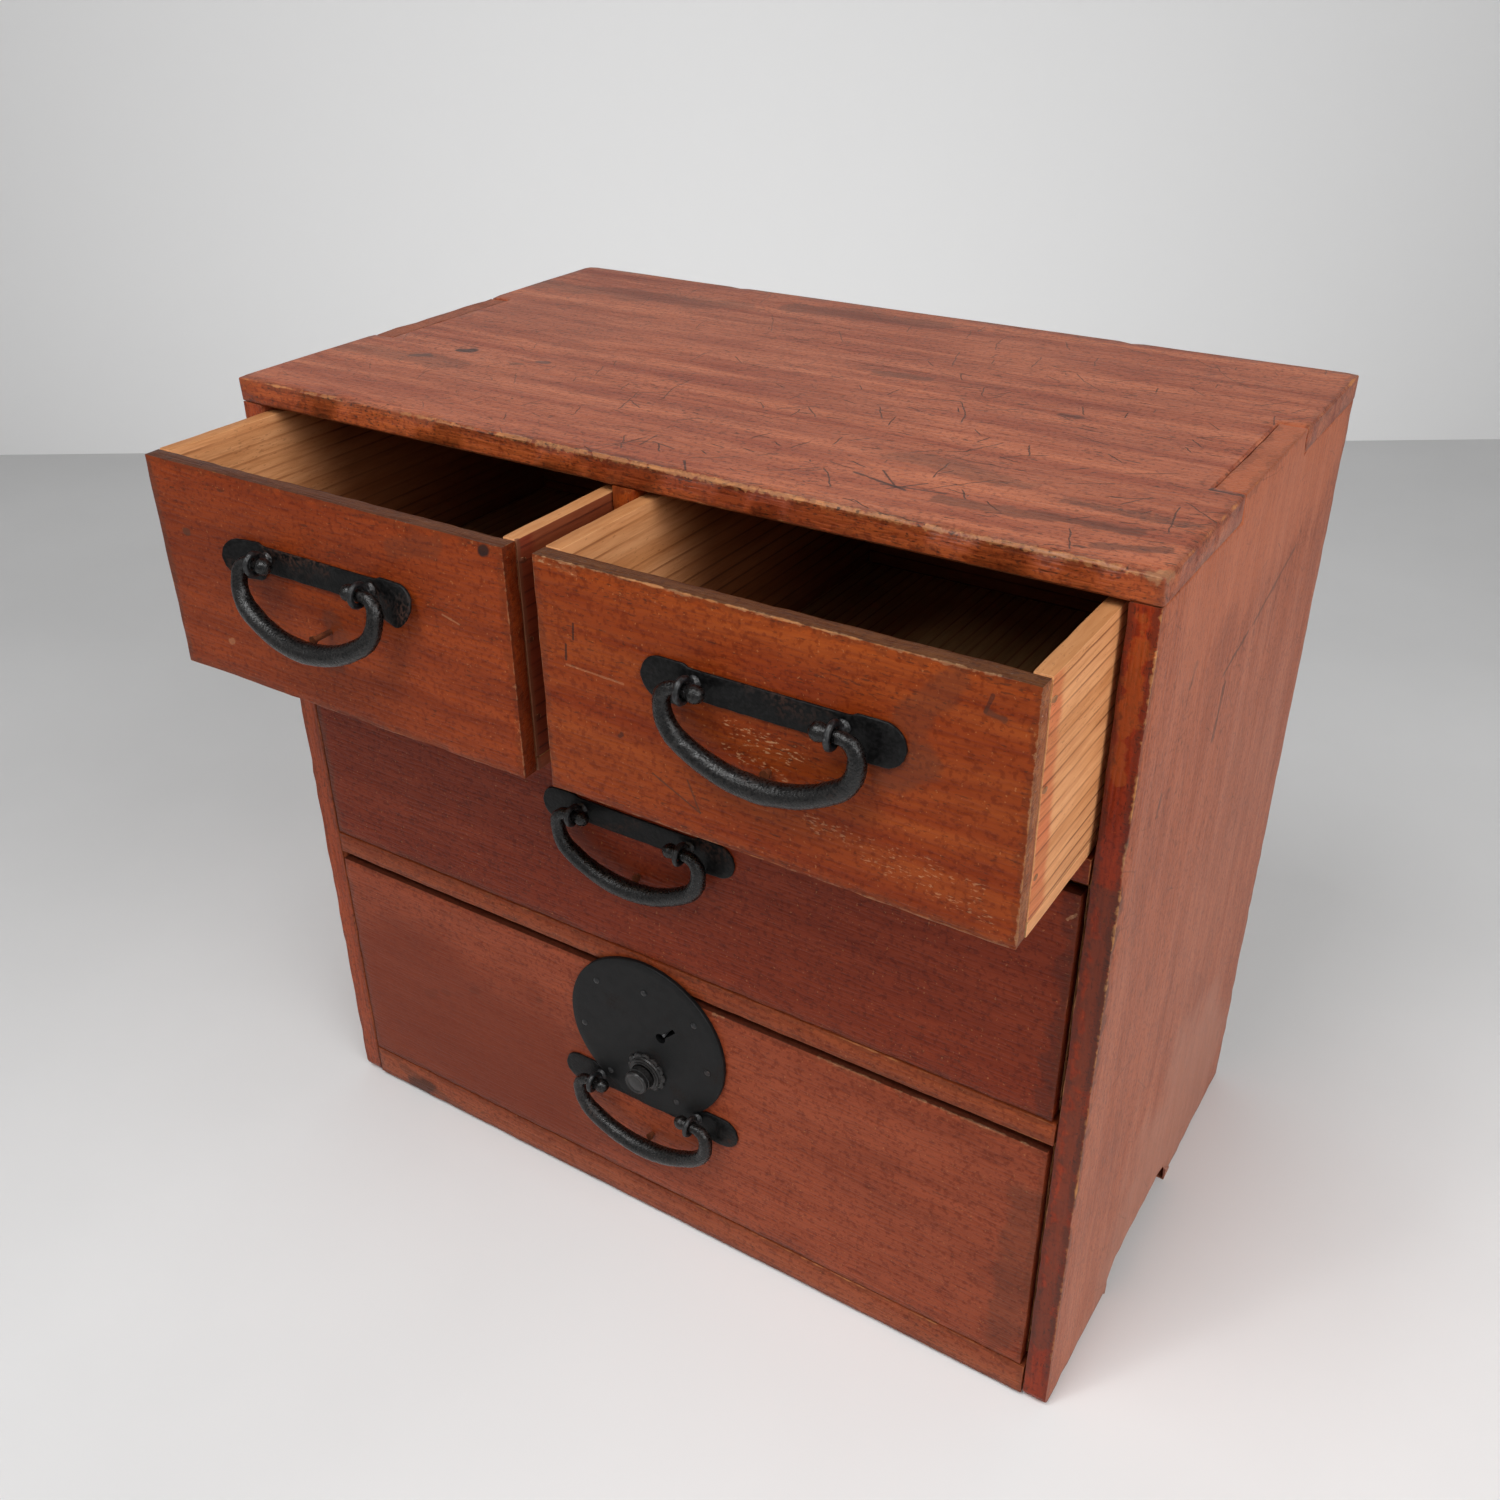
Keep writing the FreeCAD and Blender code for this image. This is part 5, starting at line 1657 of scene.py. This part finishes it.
    def build_eyes(self) -> None:
        """The two split pins: ring, collar, neck, and legs clinched behind the board."""
        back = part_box(f"{self.drawer}_eye_pins")[1].y
        pins = []
        for side in (-1, 1):
            centre = self.pivot + Vector((side * self.eye_side * MM, 0, 0))
            deselect_all()
            bpy.ops.mesh.primitive_torus_add(
                major_segments=40, minor_segments=14, major_radius=self.eye_radius * MM,
                minor_radius=self.eye_wire * MM, location=centre,
                rotation=(0, math.radians(90), 0),
            )
            ring = added("eye_ring")
            neck_low = centre + Vector((0, self.eye_radius * MM, 0))
            neck = [
                ring_round(neck_low + Vector((0, along * MM, 0)), Vector((radius * MM, 0, 0)),
                           Vector((0, 0, radius * MM)), 16)
                for radius, along in NECK_RINGS
            ]
            neck.append([Vector((place.x, back - 1.6 * MM, place.z)) for place in neck[-1]])
            leg_centre = Vector((centre.x, back - 1.4 * MM, centre.z))
            legs = [
                ring_round(leg_centre + Vector((0, 0, height * MM)), Vector((radius * MM, 0, 0)),
                           Vector((0, radius * 0.8 * MM, 0)), 12)
                for height, radius in LEG_RINGS
            ]
            pins += [ring, swept("eye_neck", neck), swept("eye_legs", legs)]
        piece = joined(f"forged_{self.drawer}_eye_pins", pins)
        change(piece, "REMESH", mode="VOXEL", voxel_size=self.voxel * MM, use_smooth_shade=True)
        change(piece, "SMOOTH", factor=0.5, iterations=2)
        push_by_noise(piece, 0.0004, 0.003)
        bpy.ops.object.shade_smooth()
        dress(piece, self.drawer, "forged_iron", FORGED_MATERIAL, f"{self.drawer}_eye_pins")

    def bail_line(self) -> list[tuple[float, float, float, float]]:
        """Half of the bail's middle line, from its knob to its middle.

        Returns:
            Stations of place across, height below the pivot, radius, and direction angle.
        """
        fall = self.drop - self.middle_radius
        spread = self.width / 2 - self.side_radius
        depth = fall - self.shoulder_drop
        reach = spread - self.corner
        bottom = (reach ** 2 + depth ** 2 - self.corner ** 2) / (2 * (depth - self.corner))
        rise = bottom - fall
        tilt = math.atan2(reach, rise + self.shoulder_drop)
        stations = []
        for turn in map(math.radians, (8, 25, 45, 65, 90, 112)):
            across = self.knob * math.cos(turn) - self.knob_side
            stations.append((across, 0.0, self.knob * math.sin(turn), 0.0))
        stations.append((-self.knob_side - 2.4, 0.0, self.end_radius, 0.0))
        stations.append((-self.eye_side, 0.0, self.end_radius, 0.0))
        quarter = math.pi / 2
        steps = 7
        grow = (self.middle_radius - self.side_radius) / 2
        for first, across, height, reach, begin, turn, radius, growth in (
            (0, self.shoulder - spread, -self.shoulder, self.shoulder, quarter, quarter,
             self.end_radius, self.side_radius - self.end_radius),
            (0, self.corner - spread, -self.shoulder_drop, self.corner, quarter * 2,
             quarter - tilt, self.side_radius, grow),
            (1, 0, rise, bottom, quarter * 3 - tilt, tilt, self.side_radius + grow, grow),
        ):
            for step in range(first, steps + 1):
                bend = begin + turn * step / steps
                stations.append((
                    across + reach * math.cos(bend), height + reach * math.sin(bend),
                    radius + growth * step / steps, bend - quarter,
                ))
        return stations

    def build_bail(self) -> None:
        """The bail, drawn out at its ends, with hammer marks."""
        stations = self.bail_line()
        rings = []
        for side, half in ((1, stations), (-1, stations[-2::-1])):
            for across, height, radius, bend in half:
                out = Vector((-side * math.sin(bend), 0, math.cos(bend))) * radius * MM
                centre = Vector((side * across * MM, 0, height * MM))
                rings.append(ring_round(centre, out, Vector((0, radius * MM, 0)), 20))
        turn = Matrix.Rotation(-math.radians(self.lift), 3, "X")
        placed = [[self.pivot + turn @ place for place in ring] for ring in rings]
        piece = swept(f"forged_{self.drawer}_bail", placed)
        change(piece, "SUBSURF", levels=1, render_levels=1)
        push_by_noise(piece, 0.0006, 0.008)
        push_by_noise(piece, 0.0002, 0.002)
        bpy.ops.object.shade_smooth()
        bail = self.drawer.replace("_drawer", "_bail")
        dress(piece, bail, "forged_iron", BAIL_MATERIAL, f"{self.drawer}_bail")


# The eye pins' rings: a neck's radii and places along it, a leg's heights and radii
NECK_RINGS = ((1.9, 0.0), (1.7, 0.8), (2.3, 1.6), (2.9, 2.2), (2.9, 2.7), (1.6, 3.1))
LEG_RINGS = ((-8, 0.5), (-7, 1.2), (-3, 1.6), (0, 1.7), (3, 1.6), (7, 1.2), (8, 0.5))
FORGED_MATERIAL = FORGED_IRON.material()
STRAP_MATERIAL = STRAP_IRON.material()
BAIL_MATERIAL = BlackIron(
    "bail_iron", (0.001, 0.001, 0.0011), (0.017, 0.0145, 0.0135), rust_share=0.3, grain=1000,
    dent=0.0006, roughness=0.27, gloss=0.36,
).material()
STUD_MATERIAL = BlackIron(
    "rusted_stud_iron", (0.10, 0.026, 0.009), (0.15, 0.042, 0.015), (0.06, 0.02, 0.01), 0.4,
    roughness=0.6, gloss=0.2,
).material()
HANDLES = (
    Handle("left_drawer", lift=13, bent=True),
    *(Handle(f"{place}_drawer") for place in ("right", "middle", "bottom")),
)


# The lock


@dataclass
class Lock:
    """The round lock plate with its keyhole, nails, rosette and button."""

    radius: float = 44.0
    petals: int = 12
    rosette: float = 10.9
    collar: float = 8.3
    bore: float = 6.5
    hole_place: tuple[float, float] = (8.8, 3.8)
    key_bore: float = 2.7
    shaft_bore: float = 3.5
    slot_half: float = 1.1
    slot_length: float = 11.5
    slot_angle: float = 45
    nail_inset: float = 8
    petal_depth: float = 1.5

    def __post_init__(self) -> None:
        """Find the lock's places from its nodes."""
        low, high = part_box("lock_plate")
        self.back = high.y
        self.front = low.y
        self.centre = Vector(((low.x + high.x) / 2, 0, high.z - self.radius * MM))
        button_low, button_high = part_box("lock_button")
        self.button_front = button_low.y
        self.button = Vector((
            (button_low.x + button_high.x) / 2, 0, (button_low.z + button_high.z) / 2,
        ))

    def cutters(self, front: float, back: float) -> list[Object]:
        """What is cut through a board behind the lock or through the plate.

        Args:
            front: Where the cut starts along Y.
            back: Where it ends.

        Returns:
            The keyhole's and the button shaft's cutters.
        """
        across, up = self.hole_place
        hole = self.centre + Vector((across * MM, 0, up * MM))
        key, shaft = (
            turned(name, [(0, front), (radius, front), (radius, back), (0, back)], place, 32)
            for name, radius, place in (
                ("key_hole", self.key_bore * MM, hole),
                ("shaft_hole", self.shaft_bore * MM, self.button),
            )
        )
        half = self.slot_half * MM
        slot = squared(
            "key_slot", Vector((0, front, -half)), Vector((self.slot_length * MM, back, half)),
        )
        turn = Matrix.Rotation(-math.radians(self.slot_angle), 4, "Y")
        slot.data.transform(Matrix.Translation(hole) @ turn)
        return [key, slot, shaft]

    def build(self) -> None:
        """Model and dress the lock."""
        self.build_plate()
        self.build_nails()
        self.build_rosette()
        self.build_button()
        finish_node("lock_bolt", SHEET_MATERIAL)
        finish_node("lock_case", PAINTED_LIGHT_POST_MATERIAL)

    def build_plate(self) -> None:
        """The sheet iron disc, its rim a little worn, cut away over the strap plate."""
        edge = self.radius * MM
        outline = [(0, self.back), (edge * 0.5, self.back), (edge - 0.2 * MM, self.back)]
        outline += [(edge, self.back - 0.3 * MM), (edge, self.front + 0.7 * MM)]
        outline += [(edge - 0.3 * MM, self.front + 0.2 * MM), (edge - 0.9 * MM, self.front)]
        outline += [(edge * share, self.front) for share in (0.9, 0.75, 0.6, 0.45, 0.3, 0.15, 0)]
        piece = turned("rolled_lock_plate", outline, self.centre, 96)
        push_by_noise(piece, 0.0003, 0.02)
        low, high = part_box("bottom_drawer_handle_plate")
        strap = squared(
            "strap_space", low - Vector((0.1 * MM, 0.2 * MM, -1 * MM)),
            high + Vector((0.1 * MM, 1 * MM, -1 * MM)),
        )
        carve(piece, self.cutters(self.front - 2 * MM, self.back + 2 * MM) + [strap])
        tidy(piece, 30)
        dress(piece, "bottom_drawer", "lock_iron", SHEET_MATERIAL, "lock_plate")

    def build_nails(self) -> None:
        """The plate's small nails, with low domed heads."""
        nails = []
        circle = self.radius - self.nail_inset
        for angle, share in LOCK_NAILS.items():
            turn = math.radians(angle)
            place = self.centre + Vector((math.cos(turn), 0, math.sin(turn))) * (
                circle * share * MM
            )
            front = self.front - 0.7 * MM
            outline = [
                (0, front), (0.6 * MM, front + 0.05 * MM), (1.2 * MM, front + 0.25 * MM),
                (1.6 * MM, front + 0.6 * MM), (1.6 * MM, front + 0.75 * MM),
                (0.8 * MM, front + 0.8 * MM), (0.8 * MM, self.back + 4 * MM),
                (0, self.back + 4 * MM),
            ]
            nails.append(turned("rim_nail", outline, place, 20))
        piece = joined("domed_lock_nails", nails)
        push_by_noise(piece, 0.0002, 0.002)
        tidy(piece, 40)
        dress(piece, "bottom_drawer", "lock_iron", FORGED_MATERIAL, "lock_nails")

    def build_rosette(self) -> None:
        """The petalled collar that the button slides in."""
        profile = (
            (self.rosette, 0.0), (self.rosette, -0.9), (self.rosette - 0.8, -1.5),
            (self.rosette - 1.9, -1.6), (self.collar + 0.5, -1.5), (self.collar + 0.2, -1.9),
            (self.collar, -2.2), (self.collar + 0.1, -2.9), (self.collar - 0.5, -3.3),
            (self.collar - 0.9, -3.3), (self.collar - 0.9, -3.7), (self.collar - 1.2, -3.9),
            (self.bore, -3.9),
        )
        outline = [(radius * MM, self.front + along * MM) for radius, along in profile]
        outline.append((self.bore * MM, self.front))
        piece = turned("petalled_lock_rosette", outline, self.button, 144)
        for vertex in piece.data.vertices:
            spoke = Vector((vertex.co.x - self.button.x, 0, vertex.co.z - self.button.z))
            if spoke.length > (self.collar + 0.7) * MM:
                turn = math.atan2(spoke.z, spoke.x) * self.petals / 2
                pinch = 1 - abs(math.cos(turn)) ** 0.6
                shorter = spoke.length - pinch * self.petal_depth * MM
                vertex.co += spoke.normalized() * (shorter - spoke.length)
        push_by_noise(piece, 0.0002, 0.003)
        tidy(piece, 30)
        dress(piece, "bottom_drawer", "lock_iron", ROSETTE_MATERIAL, "lock_rosette")

    def build_button(self) -> None:
        """The push button: a flat round head with a turned groove, on its shaft."""
        front = self.button_front
        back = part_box("lock_button")[1].y
        profile = (
            (0, 0.3), (3.6, 0.3), (4.3, 0.5), (4.9, 0.1), (5.5, 0.05), (6.1, 0.6), (6.2, 0.9),
            (6.2, 2.2), (5.8, 2.5), (5.8, 2.9), (6.2, 3.2), (6.2, 6.0), (3.2, 6.0),
        )
        outline = [(radius * MM, front + along * MM) for radius, along in profile]
        outline += [(3.2 * MM, back), (0, back)]
        piece = turned("turned_lock_button", outline, self.button, 64)
        push_by_noise(piece, 0.0001, 0.003)
        tidy(piece, 30)
        dress(piece, "lock_button", "lock_iron", BUTTON_MATERIAL, "lock_button")


LOCK_NAILS = {36: 0.97, 89: 0.76, 140: 0.99, 191: 1.04, 234: 1.07, 297: 1.01, 352: 0.98}
SHEET_MATERIAL = LOCK_IRON.material()
# Painted light: the key post and lock case are a light grey, so that the post shows in the dark
# keyhole.
PAINTED_LIGHT_POST_MATERIAL = BlackIron("key_post_iron_painted_light", (0.25, 0.25, 0.25), (0.40, 0.40, 0.40)).material()
ROSETTE_MATERIAL = BlackIron(
    "rosette_iron", (0.005, 0.0047, 0.0045), (0.022, 0.019, 0.018), rust_share=0.35, grain=1200,
    dent=0.0002, roughness=0.36, gloss=0.42,
).material()
BUTTON_MATERIAL = BlackIron(
    "button_iron", (0.007, 0.0067, 0.0065), (0.026, 0.024, 0.023), rust_share=0.3, grain=1200,
    dent=0.0001, roughness=0.34, gloss=0.45,
).material()


# The surroundings


@dataclass
class Studio:
    """A pale floor and wall, with painted shade on the floor and a painted glow on the wall, soft
    light, and the camera.
    """

    eye: tuple[float, float, float] = (1.2707, -0.9903, 1.3972)
    look: tuple[float, float, float] = (-0.46523, 0.72485, -0.5081)
    right: tuple[float, float, float] = (0.8444, 0.53564, -0.00901)
    lens: float = 35.0
    sensor: float = 36.0
    wall: float = 1.127
    wall_glow: float = 0.282
    glow_centre: tuple[float, float, float] = (-0.7, 1.05, 0)
    shade_centre: tuple[float, float, float] = (0.58, -0.30, 0)
    plane_size: float = 12

    def build(self) -> None:
        """Set up everything that isn't the chest."""
        self.build_camera()
        self.build_lights()
        self.build_floor()
        self.build_wall()

    def build_camera(self) -> None:
        """The camera, as far from the chest and as high as in the photograph."""
        width = 2 * HALF_WIDTH
        eye = chest_point(*(share * width / MM for share in self.eye))
        look = Vector(self.look).normalized()
        right = Vector(self.right).normalized()
        up = right.cross(look)
        data = bpy.data.cameras.new("camera")
        data.lens = self.lens
        data.sensor_width = self.sensor
        data.clip_start = 0.01
        camera = bpy.data.objects.new("camera", data)
        bpy.context.scene.collection.objects.link(camera)
        turn = Matrix((right, up, -look)).transposed()
        camera.matrix_world = Matrix.Translation(eye) @ turn.to_4x4()
        bpy.context.scene.camera = camera

    def add_light(self, name: str, place: Sequence[float], size: float, power: float) -> None:
        """A square soft light that points at the chest's middle."""
        data = bpy.data.lights.new(name, "AREA")
        data.size = size
        data.energy = power
        light = bpy.data.objects.new(name, data)
        bpy.context.scene.collection.objects.link(light)
        way = Vector((0, 0, 0.2)) - Vector(place)
        light.rotation_mode = "QUATERNION"
        light.rotation_quaternion = way.to_track_quat("-Z", "Y")
        light.location = place

    def build_lights(self) -> None:
        """A large soft light overhead, one from the right, and light from all round."""
        self.add_light("overhead", (-0.1, -0.8, 1.6), 0.6, 13)
        self.add_light("right_window", (1.5, -0.6, 1.3), 1.2, 19)
        self.add_light("front_lamp", (-0.5, -1.2, 1.2), 0.2, 2)
        world = bpy.data.worlds.new("room")
        world.use_nodes = True
        bpy.context.scene.world = world
        sheet = NodeSheet(world.node_tree)
        back = world.node_tree.nodes["Background"]
        rays = sheet.put("ShaderNodeLightPath", {})
        seen = sheet.math("MAXIMUM", rays["Is Glossy Ray"], rays["Is Transmission Ray"])
        seen = sheet.math("MAXIMUM", rays["Is Camera Ray"], seen)
        colour = sheet.mix(seen, (0.27, 0.27, 0.27), (0.5, 0.5, 0.5))
        sheet.feed(back, {"Color": colour, "Strength": 1.0})

    def build_floor(self) -> None:
        """A pale floor that keeps the chest's shadow, with painted shade that darkens it away from
        a point to the right of and in front of the chest.
        """
        deselect_all()
        bpy.ops.mesh.primitive_plane_add(size=self.plane_size)
        floor = added("floor")
        sheet = MaterialSheet("pale_floor")
        cloud = sheet.step(sheet.noise(sheet.place, 3, 4), 0.3, 0.7)
        colour = sheet.mix(cloud, (0.82, 0.82, 0.82), (0.87, 0.87, 0.87))
        # Painted shade: the floor darkens away from a point to the right of and in front of the
        # chest.
        far = sheet.measure("DISTANCE", sheet.place, self.shade_centre)
        colour = sheet.shade(sheet.step(far, 0.3, 1.4), colour, (0.78, 0.78, 0.78))
        sheet.feed(sheet.shader, {"Base Color": colour, "Roughness": 0.8})
        floor.data.materials.append(sheet.material)

    def build_wall(self) -> None:
        """A pale wall behind the chest, square to the camera, with a painted glow that only the
        camera sees.
        """
        look = Vector((*self.look[:2], 0)).normalized()
        deselect_all()
        bpy.ops.mesh.primitive_plane_add(
            size=self.plane_size, location=look * self.wall,
            rotation=look.to_track_quat("-Z", "Y").to_euler(),
        )
        wall = added("wall")
        sheet = MaterialSheet("pale_wall")
        rays = sheet.put("ShaderNodeLightPath", {})
        # Painted light: a glow, seen by the camera only, brightest round one point of the wall and
        # fading outwards.
        far = sheet.measure("DISTANCE", sheet.place, self.glow_centre)
        glow = sheet.scaled(sheet.step(far, 1.5, 0.0), self.wall_glow, 0.024)
        sheet.feed(sheet.shader, {
            "Emission Strength": sheet.times(rays["Is Camera Ray"], glow),
            "Emission Color": (1, 1, 1, 1), "Base Color": (0.62, 0.62, 0.62, 1),
            "Roughness": 0.9,
        })
        wall.data.materials.append(sheet.material)


def main() -> None:
    """Build the chest's looks and its surroundings."""
    logging.basicConfig(level=logging.INFO, format="%(message)s")
    Case().build()
    lock = Lock()
    for drawer in DRAWERS:
        cutters = []
        if drawer.name == "bottom_drawer":
            front = lock.back - 3 * MM
            cutters = lock.cutters(front, front + 15 * MM)
        drawer.build(cutters)
    for handle in HANDLES:
        handle.build()
    lock.build()
    Studio().build()
    bpy.context.scene.view_settings.view_transform = "Standard"


if __name__ == "__main__":
    main()
